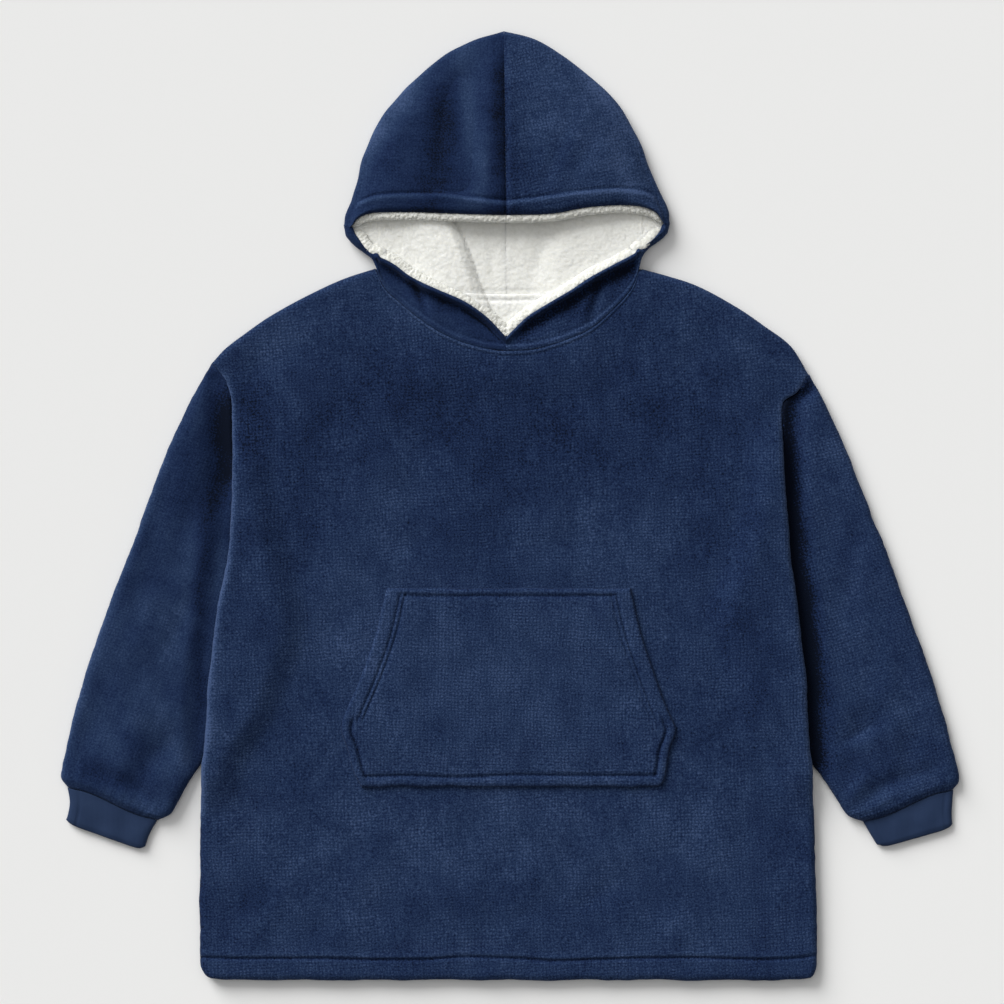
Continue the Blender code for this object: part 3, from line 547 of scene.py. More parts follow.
def side_gap(x, y):
    """Distance in from the nearer side edge of the body."""
    return np.minimum(x - LEFT_EDGE(y), RIGHT_EDGE(y) - x)


def body_lift(x, y):
    """How far the sleeves under the body's sides lift its panels."""
    past = side_gap(x, y) - HIDDEN(y) - TUCK_SPARE
    return (PRESSED + 2 * SEAM_GAP) * LIFTED(y) * (1 - smooth(past / TUCK_RAMP))


def facing_lift(x, y):
    """How far the neck facing lifts the front neck and the collar."""
    across = smooth((FACING_HALF + 60 - abs(x)) / 50)
    up = smooth((y - (FACING_LOW - 60)) / 50) * smooth((FACING_LOW + 150 - y) / 50)
    return FACING_LIFT * across * up


def near_pocket(x, y):
    """1 over and round the pocket, where the front lies flat, and 0 away from it."""
    across = smooth((x - POCKET_LEFT(y) + 60) / 40) * smooth((POCKET_RIGHT(y) + 60 - x) / 40)
    return across * smooth((y - 190) / 40) * smooth((568 - y) / 40)


def front_height(x, y):
    """The front panel's upper surface, away from its edges."""
    crown = 1.6 * np.cos(math.pi * x / 900) * np.sin(math.pi * np.clip(y, 0, 950) / 950)
    folds = soft_spots(SOFT_FOLDS, x, y) + soft_spots(BODY_CREASES, x, y)
    folds = folds * (1 - near_pocket(x, y))
    rumple = 0.55 * uneven(x, y, 46, 3) + 0.35 * uneven(x, y, 22, 4)
    rumple = rumple * (1 - 0.6 * near_pocket(x, y))
    return FRONT_TOP + crown + body_lift(x, y) + facing_lift(x, y) + folds + rumple


def colour(hex_value):
    """An sRGB hex colour as a linear one."""
    parts = [int(hex_value[i : i + 2], 16) / 255 for i in (0, 2, 4)]
    return (*[p / 12.92 if p <= 0.04045 else ((p + 0.055) / 1.055) ** 2.4 for p in parts], 1.0)


def fill(tree, sockets, values):
    """Sets sockets, by number or by name, to constants or links them to outputs."""
    for key, value in values:
        socket = sockets[key if isinstance(key, int) else key.replace("_", " ")]
        if isinstance(value, bpy.types.NodeSocket):
            tree.links.new(value, socket)
        else:
            socket.default_value = value


def node(tree, kind, *values, give=0, stops=(), settings=(), **named):
    """Adds a shader node and gives one of its outputs.

    kind is its type and, for arithmetic, its operation. values go to its first sockets, and named
    ones to those of that name. settings are its properties, and stops a ramp's places and colours.
    """
    word, _, operation = kind.partition(" ")
    made = tree.nodes.new("ShaderNode" + word)
    for key, value in settings:
        setattr(made, key, value)
    if operation:
        made.operation = operation
    if stops:
        elements = made.color_ramp.elements
        while len(elements) < len(stops):
            elements.new(0.5)
        for element, (at, shade) in zip(elements, stops):
            element.position, element.color = at, colour(shade)
    fill(tree, made.inputs, [*enumerate(values), *named.items()])
    return made.outputs[give]


def new_material(name):
    """A new material, and the function that adds nodes to it."""
    made = bpy.data.materials.new(name)
    made.use_nodes = True
    return made, functools.partial(node, made.node_tree)


def dress(made, **values):
    """Sets or links the sockets of a material's own shader, which is no metal."""
    tree = made.node_tree
    fill(tree, tree.nodes["Principled BSDF"].inputs, [("Metallic", 0.0), *values.items()])
    return made


def plush_flannel(name, turn, shown, tone=0.0):
    """Brushed polyester flannel, knitted in fine rows of stitches.

    Light catches the nap in soft patches where a hand has brushed it one way or the other, with the
    small stitches, 4.5 by 4.2 mm, showing through the lighter ones. The points' tone attribute adds
    painted shade and painted highlight of the folds, seams and edges. turn is the rows' turn, shown
    how clearly the stitches show, and tone how light the cloth is.
    """
    made, add = new_material(name)
    spot = add("TexCoord", give="Object")
    flat = add("VectorMath MULTIPLY", spot, (1, 1, 0))
    grain = add("Mapping", flat, Rotation=(0, 0, turn))
    drift = add("TexNoise", give="Color", Vector=flat, Scale=14.0, Detail=2.0)
    pull = add("VectorMath MULTIPLY_ADD", drift, (0.012, 0.012, 0), grain)
    # Brushed patches, 20 to 60 mm, and streaks along the nap
    patches = add("TexNoise", Vector=grain, Scale=15.0, Detail=4.0, Roughness=0.6, Distortion=0.4)
    long_grain = add("Mapping", grain, Scale=(1.0, 0.4, 1.0))
    streaks = add("TexNoise", Vector=long_grain, Scale=62.0, Detail=3.0, Roughness=0.6)
    fibres = add("TexNoise", Vector=spot, Scale=480.0, Detail=1.0, Roughness=0.6)
    tufts = add("TexNoise", Vector=spot, Scale=190.0, Detail=3.0, Roughness=0.7)
    # The stitches, one to a cell, each a little lighter or darker than its neighbours
    cells = dict(settings=[("voronoi_dimensions", "2D")], Scale=1.0, Randomness=0.22,
                 Vector=add("VectorMath MULTIPLY", pull, (1 / 0.0045, 1 / 0.0042, 0)))
    lump = add("Math MULTIPLY_ADD", add("TexVoronoi", **cells), -1.5, 0.58)
    lump = add("Math MULTIPLY_ADD", add("TexVoronoi", give="Color", **cells), 0.14,
               add("Math ADD", lump, -0.07))
    clear = add("Math MAXIMUM", add("Math MULTIPLY_ADD", patches, 2.6, -0.5), 0.35)
    lump = add("Math MULTIPLY", add("Math MULTIPLY", lump, clear), shown)
    # The tone attribute: painted shade in grooves, creases and valleys, painted highlight on rims, and
    # some nap tone
    hand = add("Attribute", give="Fac", settings=[("attribute_name", "tone")])
    light = add("Math MULTIPLY_ADD", patches, 0.62, 0.50 - 0.31 + tone)
    light = add("Math MULTIPLY_ADD", streaks, 0.36, add("Math ADD", light, -0.18))
    light = add("Math MULTIPLY_ADD", hand, 0.30, light)
    light = add("Math MULTIPLY_ADD", lump, 0.32, light)
    light = add("Math MULTIPLY_ADD", tufts, 0.07, add("Math ADD", light, -0.035))
    light = add("Math ADD", light, -0.25 - 0.4 * shown)
    light = add("Math MULTIPLY_ADD", fibres, 0.5 + 0.8 * shown, light)
    shade = add("ValToRGB", light, stops=((0.0, "050c1b"), (0.22, "101e3b"), (0.38, "172645"),
                                          (0.65, "243553"), (1.0, "3b4c6e")))
    height = add("Math MULTIPLY", lump, 0.7)
    height = add("Math MULTIPLY_ADD", tufts, 0.1, height)
    height = add("Math MULTIPLY_ADD", fibres, 0.2 + 0.35 * shown, height)
    relief = add("Bump", Height=height, Distance=0.0007, Strength=0.65)
    return dress(made, Base_Color=shade, Normal=relief, Roughness=0.92, Specular_IOR_Level=0.08,
                 Sheen_Weight=0.16, Sheen_Roughness=0.42, Sheen_Tint=colour("9fb2dc"))


def sherpa_pile(name, shown, dim=0.0):
    """Curly polyester sherpa: small white curls, with soft grey shade between them.

    shown is how clearly the curls show, and dim how much painted shade greys the pile.
    """
    made, add = new_material(name)
    spot = add("TexCoord", give="Object")
    fine = add("TexNoise", Vector=spot, Scale=300.0, Detail=4.0, Roughness=0.7, Distortion=1.2)
    clumps = add("TexNoise", Vector=spot, Scale=95.0, Detail=3.0, Roughness=0.6)
    bend = add("TexNoise", give="Color", Vector=spot, Scale=170.0, Detail=1.0)
    bent = add("VectorMath MULTIPLY_ADD", bend, (0.004, 0.004, 0.004), spot)
    knots = add("TexVoronoi", settings=[("feature", "SMOOTH_F1")], Vector=bent, Scale=230.0,
                Smoothness=0.35)
    light = add("Math MULTIPLY_ADD", fine, 0.4, add("Math MULTIPLY_ADD", clumps, 0.5, 0.18))
    light = add("Math SUBTRACT", add("Math MULTIPLY_ADD", knots, -0.2, light), dim)
    shade = add("ValToRGB", light, stops=((0.0, "c0c0b7"), (0.5, "e8e8e3"), (1.0, "f9f9f5")))
    height = add("Math MULTIPLY_ADD", fine, 0.35, add("Math MULTIPLY", clumps, 0.5))
    height = add("Math MULTIPLY_ADD", knots, -0.7, height)
    relief = add("Bump", Height=height, Distance=0.0011, Strength=shown)
    return dress(made, Base_Color=shade, Normal=relief, Roughness=0.95, Specular_IOR_Level=0.05,
                 Sheen_Weight=0.1, Sheen_Roughness=0.5, Sheen_Tint=colour("ffffff"),
                 Subsurface_Weight=0.6, Subsurface_Radius=(1.0, 0.97, 0.9), Subsurface_Scale=0.004)


def jersey_knit(name):
    """Smooth double jersey: close fine wales, 1.6 mm apart, matt, with hardly any nap."""
    made, add = new_material(name)
    spot = add("TexCoord", give="Object")
    # A wave texture's scale is 2 pi over 20 times its repeat in metres
    wales = add("TexWave", give="Fac", settings=[("bands_direction", "X")], Vector=spot,
                Scale=2 * math.pi / (20 * 0.0016), Distortion=0.6)
    patches = add("TexNoise", Vector=spot, Scale=34.0, Detail=3.0)
    fibres = add("TexNoise", Vector=spot, Scale=700.0, Detail=2.0)
    light = add("Math MULTIPLY_ADD", patches, 0.7, 0.1)
    light = add("Math MULTIPLY_ADD", fibres, 0.16, light)
    shade = add("ValToRGB", light, stops=((0.0, "192843"), (1.0, "2b3b58")))
    height = add("Math MULTIPLY_ADD", fibres, 0.4, wales)
    relief = add("Bump", Height=height, Distance=0.0002, Strength=0.5)
    return dress(made, Base_Color=shade, Normal=relief, Roughness=0.85, Specular_IOR_Level=0.12,
                 Sheen_Weight=0.06, Sheen_Roughness=0.4, Sheen_Tint=colour("9fb2dc"))


def table_top(name):
    """Matt painted board, a pale warm grey."""
    made, _ = new_material(name)
    return dress(made, Base_Color=colour("ebebea"), Roughness=0.9, Specular_IOR_Level=0.1)


def place(points):
    """The frame's metres for the tables' millimetres."""
    return (np.asarray(points) + SHIFT) * MM


def finished(name, mesh, cloth, node_name=None):
    """Makes the object of a finished bmesh: smooth, with its tone of painted shade, highlight and nap,
    on the one body.
    """
    bmesh.ops.recalc_face_normals(mesh, faces=mesh.faces)
    data = bpy.data.meshes.new(name)
    mesh.to_mesh(data)
    mesh.free()
    data.shade_smooth()
    data.materials.append(cloth)
    made = bpy.data.objects.new(name, data)
    bpy.context.collection.objects.link(made)
    count = len(data.vertices)
    spots = np.empty(count * 3, np.float32)
    data.vertices.foreach_get("co", spots)
    raw = spots.reshape(-1, 3) / MM - SHIFT
    shade = np.zeros(count, np.float32)
    if "shade" in data.attributes:
        data.attributes["shade"].data.foreach_get("value", shade)
    tone = data.attributes.new("tone", "FLOAT", "POINT")
    # The tone adds the patches of painted shade and highlight, and of nap, to the wall's painted shade
    shade = shade + soft_spots(NAP_AND_PAINTED_SHADE, raw[:, 0], raw[:, 1])
    tone.data.foreach_set("value", shade.astype(np.float32))
    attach(made, "root")
    if node_name:
        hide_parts(node_name)
    return made


def wall(name, outer, inner, cloth, slot, node_name=None, ring=False, absent=None, shade=None,
         crisp=False):
    """A wall of cloth between two grids of points, rows by columns.

    A grid is laid on the outer points, cut where absent says, and extruded to the inner points, which
    closes its edges too. ring joins its first and last columns. shade is painted shade and painted
    highlight on the points: below 0 it darkens grooves, above 0 it lightens rims. crisp keeps its
    edges sharp.
    """
    outer, inner = np.array(outer), np.array(inner)
    shade = np.zeros(outer.shape[:2]) if shade is None else np.array(shade)
    rows, columns = outer.shape[:2]
    mesh = bmesh.new()
    row, column = [mesh.verts.layers.int.new(key) for key in ("row", "column")]
    # The shade layer: each point's painted shade and highlight
    depth = mesh.verts.layers.float.new("shade")
    bmesh.ops.create_grid(mesh, x_segments=columns - 1, y_segments=rows - 1, size=1.0)
    outside, inside = place(outer), place(inner)
    for vert in mesh.verts:
        vert[column] = round((vert.co.x + 1) / 2 * (columns - 1))
        vert[row] = round((vert.co.y + 1) / 2 * (rows - 1))
    if absent:
        cut = [
            face for face in mesh.faces
            if absent(*(min(vert[layer] for vert in face.verts) for layer in (row, column)))
        ]
        bmesh.ops.delete(mesh, geom=cut, context="FACES")
    for vert in mesh.verts:
        vert.co = outside[vert[row], vert[column]]
        vert[depth] = shade[vert[row], vert[column]]
    if ring:
        ends = [v for v in mesh.verts if v[column] in (0, columns - 1)]
        bmesh.ops.remove_doubles(mesh, verts=ends, dist=1e-6)
    for edge in mesh.edges:
        edge.smooth = not (crisp and edge.is_boundary)
    grown = bmesh.ops.extrude_face_region(mesh, geom=mesh.faces[:], use_keep_orig=True)
    for vert in grown["geom"]:
        if isinstance(vert, bmesh.types.BMVert):
            vert.co = inside[vert[row], vert[column]]
    return finished(name, mesh, cloth, node_name)


def points(xy, z):
    """Plan points and heights as one array."""
    xy = np.asarray(xy, float)
    return np.concatenate([xy, np.broadcast_to(z, xy.shape[:-1])[..., None]], axis=-1)


EDGE_STEPS = (0, 1, 2.5, 4.2, 5.6, 6.8, 8.0, 10.5, BODY_EDGE)


def top_line(x, neck):
    """The shoulder and neck line of a panel, up from the hem."""
    line = neck(x)
    line = np.where(x <= LEFT_SHOULDER[-1][0], LEFT_TOP(x), line)
    return np.where(x >= RIGHT_SHOULDER[0][0], RIGHT_TOP(x), line)


def panel_plan(neck, step):
    """Plan points of a body panel, hem to shoulder, and each one's top line."""
    tops = steps_between(LEFT_SHOULDER[0][0], RIGHT_SHOULDER[-1][0], step, EDGE_STEPS)
    lines = top_line(tops, neck)
    shares = (tops - tops[0]) / (tops[-1] - tops[0])
    hem = (0, 1, 2.5, 4.5, 7, 10, 14, 18, 21, 23, 24.5, 26, 27.2, 28.4, 29.6, 31, 33, 36)
    base = 705.0
    plan = []
    for up in (*hem[:-1], *np.linspace(hem[-1], base, round((base - hem[-1]) / step) + 1)):
        left, right = LEFT_EDGE(up), RIGHT_EDGE(up)
        plan.append(np.column_stack([left + shares * (right - left), np.full(len(tops), up)]))
    rises = np.linspace(0, 1, round(150 / step) + 1)[1:-1]
    for rise, down in [(r, None) for r in rises] + [(1, s) for s in EDGE_STEPS[::-1]]:
        ups = base + rise * (lines - BODY_EDGE - base) if down is None else lines - down
        left, right = LEFT_EDGE(ups[0]), RIGHT_EDGE(ups[-1])
        even = left + shares * (right - left)
        upright = tops + (left - tops[0]) * np.maximum(0, 1 - (tops - tops[0]) / SHOULDER_END)
        upright += (right - tops[-1]) * np.maximum(0, 1 - (tops[-1] - tops) / SHOULDER_END)
        plan.append(np.column_stack([even + (upright - even) * rise, ups]))
    plan = np.array(plan)
    return plan[..., 0], plan[..., 1], np.broadcast_to(lines, plan.shape[:2])


def seam_depth(x, y, top):
    """How much of the edge's round there is: all at a free fold, little at a sewn seam."""
    at_armhole = smooth((y - 700) / 60) * smooth((60 - side_gap(x, y)) / 30)
    depth = 1 - 0.65 * at_armhole * smooth((top - y) / 20 + 0.2)
    neck = (x > NECK_LEFT[0]) & (x < NECK_RIGHT[0]) & (top - y < BODY_EDGE)
    return np.where(neck, 0.12, depth)


def outline_waver(x, y, gap):
    """Moves the edge of a panel a little in and out, as cut and turned cloth does."""
    near = 1 - smooth(gap / 20)
    return near * (0.7 * uneven(x, y, 30, 11) + 0.35 * uneven(x, y, 9, 12))


def make_front(cloth):
    x, y, top = panel_plan(FRONT_SEAM, FRONT_STEP)
    sides = side_gap(x, y)
    gap = np.minimum(np.minimum(sides, y), top - y)
    low = FRONT_UNDER + body_lift(x, y) + facing_lift(x, y)
    full = front_height(x, y)
    drop = round_drop(gap, ROUND, (full - low - EDGE_WALL) * seam_depth(x, y, top))
    hem = STITCHED_HEM(x)
    puckers = 0.25 * uneven(x, y * 0.25, 5, 21) * smooth((hem - y) / 4) * smooth(y / 6)
    stitched = dent(y - hem, *HEM_GROOVE) + 0.7 * bell(y - hem - 4, 3) + puckers
    at_neck = (x > NECK_LEFT[0] + 2) & (x < NECK_RIGHT[0] - 2)
    from_neck = np.where(at_neck, top - y, 99.0)
    stitched = stitched + 1.0 * bell(from_neck - 2.4, 1.9) + dent(from_neck - 6.4, *NECK_GROOVE)
    sway = outline_waver(x, y, np.minimum(sides, y))
    plan = [x + sway, y + sway * smooth((30 - y) / 20)]
    outer = np.stack([*plan, full + stitched - drop], axis=-1)
    inner = np.stack([*plan, low], axis=-1)
    # Painted shade in the hem's groove and painted highlight beside it and on the neck seam's ridge,
    # painted highlight on the rims over the sleeves, and painted shade on the left edge over the table
    shade = -0.8 * bell(y - hem, 1.5) + 0.3 * bell(y - hem - 4, 3)
    shade = shade + 0.8 * bell(from_neck - 2.2, 1.8)
    over_sleeve = smooth((y - 190) / 40) * smooth((800 - y) / 20)
    shade = shade + (x < 0) * (1.9 * over_sleeve * np.exp(-((sides - 1) / 4.5))
                               - 0.9 * (1 - over_sleeve) * np.exp(-sides / 5) * (y < 400))
    shade = shade + (x > 0) * 1.6 * over_sleeve * np.exp(-sides / 5)
    return wall("body_front", outer, inner, cloth, "navy_flannel", "front_panel", shade=shade)


def make_back(cloth):
    x, y, top = panel_plan(BACK_SEAM, BACK_STEP)
    sides = side_gap(x, y)
    gap = np.minimum(np.minimum(sides, y), top - y)
    lift = body_lift(x, y)
    depth = (BACK_TOP - EDGE_WALL) * seam_depth(x, y, top)
    sway = outline_waver(x, y, np.minimum(sides, y))
    plan = [x + sway, y + sway * smooth((30 - y) / 20)]
    outer = np.stack([*plan, BACK_TOP + lift], axis=-1)
    inner = np.stack([*plan, lift + round_drop(gap, BODY_EDGE, depth)], axis=-1)
    return wall("body_back", outer, inner, cloth, "navy_flannel", "back_panel")


def outside_body(x, y):
    """How far out from the body's side edge a point is."""
    return abs(x) - abs(np.where(x < 0, LEFT_EDGE(y), RIGHT_EDGE(y)))


def sleeve_height(x, y):
    """The sleeve's upper surface away from its edges: lower beside and under the body."""
    outside = outside_body(x, y)
    pressed = 1 - smooth((y - 640) / 105)
    pressed = np.where(y < 285, pressed * smooth((y - 235) / 50), pressed)
    free = smooth((outside - 6) / 30)
    folds = 1.5 * soft_spots(SLEEVE_CREASES, x, y)
    folds = folds + 0.8 * uneven(x, y, 34, 31) + 0.35 * uneven(x, y, 15, 32)
    at_seam = smooth((y - 590) / 60) * smooth((800 - y) / 26)
    wide = np.where(x < 0, 14.0 + 6.0 * smooth((760 - y) / 90), 13.0)
    valley = dent(outside - wide * 1.1, wide, 7.0) * at_seam * smooth(outside / 4)
    height = FRONT_TOP - (FRONT_TOP - PRESSED) * pressed * (1 - free) + folds * free + valley
    # Its top runs on under the body's rounded side, so that no table shows between them
    tucked = smooth((1 - outside) / 3) * smooth((y - 560) / 20) * smooth((776 - y) / 10)
    low = 1.4 + (PRESSED - 1.8) * LIFTED(y)
    return height - np.maximum(height - low, 0) * tucked


# Painted shade of the left sleeve's valley: up from the hem, how far out from the body, half width and
# tone
LEFT_VALLEY_SHADE = (
    (230, 8, 9, 0.0), (290, 8, 9, -0.6), (363, 9, 8, -0.7), (441, 20, 11, -0.5), (544, 32, 11, -1.0),
    (590, 31, 12, -0.9), (628, 24, 16, -1.1), (661, 13, 17, -1.7), (720, 10, 19, -1.75),
    (780, 8, 15, -0.9), (815, 6, 12, -0.4),
)


def valley_shade(x, y):
    """How much painted shade darkens the sleeve: in its valley on the left, the body's shadow on the
    right.
    """
    outside = outside_body(x, y)
    middle, half, tone = [curve(LEFT_VALLEY_SHADE, column)(y) for column in (1, 2, 3)]
    left = tone * bell(outside - middle, half)
    right = -2.3 * bell(outside - 4, 14) * smooth((y - 250) / 40) * smooth((800 - y) / 60)
    return np.where(x < 0, left, right)


def tube_ring(width, step, edge, wall_thickness):
    """Round a flattened tube from the middle of its underside.

    Gives each point's share across, its side (1 above, -1 below), its rise, and the inner share.
    """
    near = edge * np.array((0, 0.04, 0.11, 0.22, 0.37, 0.55))
    even = np.linspace(edge, width - edge, 2 * round(width / step / 2) + 1)
    across = np.concatenate([near, even, width - near[::-1]])
    middle = len(across) // 2
    distance = np.concatenate([across[middle::-1], across[1:], across[-2:middle - 1:-1]])
    level = np.concatenate([-np.ones(middle), np.ones(len(across)), -np.ones(len(across) - middle - 1)])
    gap = np.minimum(distance, width - distance)
    rise = np.sqrt(np.clip(1 - (1 - np.minimum(gap / edge, 1)) ** 2, 0, 1))
    inset = np.where(gap < edge, wall_thickness + gap * (edge - wall_thickness) / edge, gap)
    inner = np.where(distance <= width / 2, inset, width - inset)
    return distance / width, level, rise, inner / width, gap


def make_sleeve(word, cloth):
    """One sleeve, ring by ring from its armhole to its hem."""
    side = SIDES[word]
    over, under, seam = [path(side[key]) for key in ("overarm", "underarm", "armhole")]
    outer, inner, shade = [], [], []
    for station in (*np.linspace(0, 0.95, 122)[:-1], *np.linspace(0.95, 1, 15)):
        start, end = over(station), under(station)
        width = float(np.linalg.norm(end - start))
        edge = SLEEVE_EDGE * SLEEVE_WIDEST / width
        share, level, rise, inner_share, gap = tube_ring(SLEEVE_WIDEST, SLEEVE_STEP, edge, SLEEVE_WALL)
        gap = gap * width / SLEEVE_WIDEST
        straight = smooth(station / 0.25)
        past = smooth((station - 0.8) / 0.2)

        def plan_of(s):
            line = start + (end - start) * s[:, None]
            first, last = seam(0.0), seam(1.0)
            bend = seam(s) - first - (last - first) * s[:, None]
            bow = 2.6 * past * np.sin(2 * math.pi * s) * smooth(s * 6) * smooth((1 - s) * 6)
            return line + bend * (1 - straight) + np.column_stack([bow * 0, bow])

        plan = plan_of(share)
        x, y = plan[:, 0], plan[:, 1]
        closing = smooth((station - SLEEVE_CLOSING) / (1 - SLEEVE_CLOSING))
        top = sleeve_height(x, y) * (1 - closing) + SLEEVE_HEM_HEIGHT * closing
        gathers = 0.22 * np.sin(share * 2 * math.pi * 13 + 1.2 * np.sin(share * 17))
        gathers = gathers * smooth((station - 0.86) / 0.1)
        roll = 1.5 * bell(station - 0.972, 0.014)
        top = top + (gathers * smooth(gap / 20) + roll) * (level > 0)
        end_drop = round_drop((1 - station) * SLEEVE_LENGTH, *SLEEVE_END)
        z = top / 2 + level * rise * top / 2 - end_drop * (level > 0) * rise
        sway = (1 - smooth(gap / 16)) * (0.6 * uneven(x, y, 26, 41) + 0.3 * uneven(x, y, 8, 42))
        sway = sway + 1.3 * -side["way"] * (1 - smooth(station / 0.03)) * (level > 0)
        # Painted highlight along the left sleeve's outer edge, with the valley's painted shade
        edge_highlight = (x < 0) * 1.1 * np.exp(-gap / 3.5) * (share < 0.5) * smooth((735 - y) / 60)
        shade.append((valley_shade(x, y) + edge_highlight) * (level > 0))
        outer.append(np.column_stack([x + sway, y, z]))
        inner.append(np.column_stack([plan_of(inner_share), top / 2 + level * rise * LAYER_GAP - 0.5]))
    names = ("navy_flannel", word + "_sleeve")
    return wall("sleeve_" + word, outer, inner, cloth, *names, ring=True, shade=shade)


def make_cuff(word, cloth):
    """A doubled jersey band, with its seams where they show."""
    side = SIDES[word]
    over, under = [path(edge) for edge in side["cuff"]]
    outer, inner = [], []
    for station in np.linspace(CUFF_START, 1, 22):
        start, end = over(station), under(station)
        width = float(np.linalg.norm(end - start))
        edge = CUFF_EDGE * CUFF_WIDEST / width
        share, level, rise, inner_share, _ = tube_ring(CUFF_WIDEST, CUFF_STEP, edge, CUFF_WALL)
        closing = smooth((station - 0.86) / 0.14)
        height = CUFF_HEIGHT - 1.8 * closing + 0.6 * math.sin(math.pi * station)
        corner = 5.0 * smooth((station - 0.8) / 0.2) ** 2

        def plan_of(s):
            line = start + (end - start) * s[:, None]
            bow = 2.6 * (1 - station) * np.sin(2 * math.pi * s) * smooth(s * 6) * smooth((1 - s) * 6)
            round_corner = corner * (np.exp(-s * width / 5) + np.exp(-(1 - s) * width / 5))
            return line + np.column_stack([bow * 0, bow + round_corner])

        plan = plan_of(share)
        x, y = plan[:, 0], plan[:, 1]
        lines = sum(dent((share - seam) * width, *CUFF_GROOVE) for seam in side["cuff_seams"])
        top = height + 0.35 * uneven(x, y, 16, 51)
        z = top / 2 + level * rise * top / 2 + lines * (level > 0) * rise
        outer.append(np.column_stack([x, y, z]))
        inner.append(np.column_stack([plan_of(inner_share), top / 2 + level * rise * LAYER_GAP]))
    return wall("cuff_" + word, outer, inner, cloth, "navy_jersey", word + "_cuff", ring=True)


def crown_height(across_share, down_share, x, y):
    """The crown's upper surface: from the outline up to the brim, highest at the centre seam."""
    highest = BRIM_HEIGHT - CROWN_EDGE_HEIGHT - CROWN_LOWEST
    brim = CROWN_LOWEST + highest * np.sin(math.pi / 2 * across_share)
    rise = np.sin(math.pi / 2 * np.clip(down_share, 0, 1)) ** 0.85
    return CROWN_EDGE_HEIGHT + brim * rise + soft_spots(SOFT_FOLDS, x, y) * smooth(down_share * 4)


def hood_columns(word, count, seam_gap=SEAM_GAP):
    """A hood half's plan points, count to each row of its tables, from the corner to the centre seam.

    Gives a table of them by name, and how many of them belong to the corner's fold.
    """
    corner, crown, necks, way = [SIDES[word][key] for key in ("corner", "crown", "necks", "way")]
    neck_line = np.array([(x, float(FRONT_SEAM(x))) for x in necks])
    inward = normals_of(neck_line, (CENTRE, 940))
    inward[-1] = (0.0, 1.0)
    moved = np.array([[way * seam_gap / 2 * (x == CENTRE), 0] for x in necks])
    low = np.array([(x, float(BACK_SEAM(x)) + SEAM_GAP) for x in necks]) + moved
    face = np.array([(x, float(FACE(x))) for x in necks]) + moved
    neck = neck_line + inward * 0.12 + moved
    brim = np.array([(x, float(BRIM_EDGE(x))) for x, _ in crown]) + moved
    outline = np.array([point for _, point in crown], float) + moved
    face[0] = (face[0][0] - way * 3.5, float(FACE(necks[0])) + 1)
    neck[0] = (necks[0] - way * 0.2, neck_line[0][1] + 1.8)
    low[0] = (necks[0] - way * 1.0, neck_line[0][1] + 9.0)
    corner = np.array(corner, float)
    folded = len(corner)
    outline = np.vstack([corner[:, 1], outline])
    lower = np.vstack([corner[:, 2], low])
    outward = normals_of(outline, (0, 1040), (0, -1))
    sideways = np.zeros_like(lower)
    sideways[: folded + 1] = normals_of(lower[: folded + 1], (0, 1000))
    coarse = {
        "brim": np.vstack([corner[:, 0], brim]),
        "up_in": outline + outward * HOOD_FOLD,
        "outward": outward,
        "low_in": lower + sideways * CORNER_FOLD,
        "lining_low": lower + sideways * (CORNER_FOLD + 1.5),
        "sideways": sideways * np.where(np.arange(len(lower)) < folded, 1.0, 0.2)[:, None],
        "face": np.vstack([corner[:, 3], face]),
        "across": np.arange(len(lower)) / (len(lower) - 1),
    }
    coarse["neck_in"] = np.vstack([coarse["low_in"][:folded], neck])
    return {key: finer(values, count) for key, values in coarse.items()}, folded * count


def arc(degrees):
    """Cosine and sine of an angle in degrees."""
    return math.cos(math.radians(degrees)), math.sin(math.radians(degrees))


def collar_roll(x):
    """How high the collar's face edge stands in its roll: lowest at the V and the corners."""
    return 3.4 + 6.0 * smooth((abs(x - CENTRE) - 8) / 50) * smooth((196 - abs(x)) / 40)


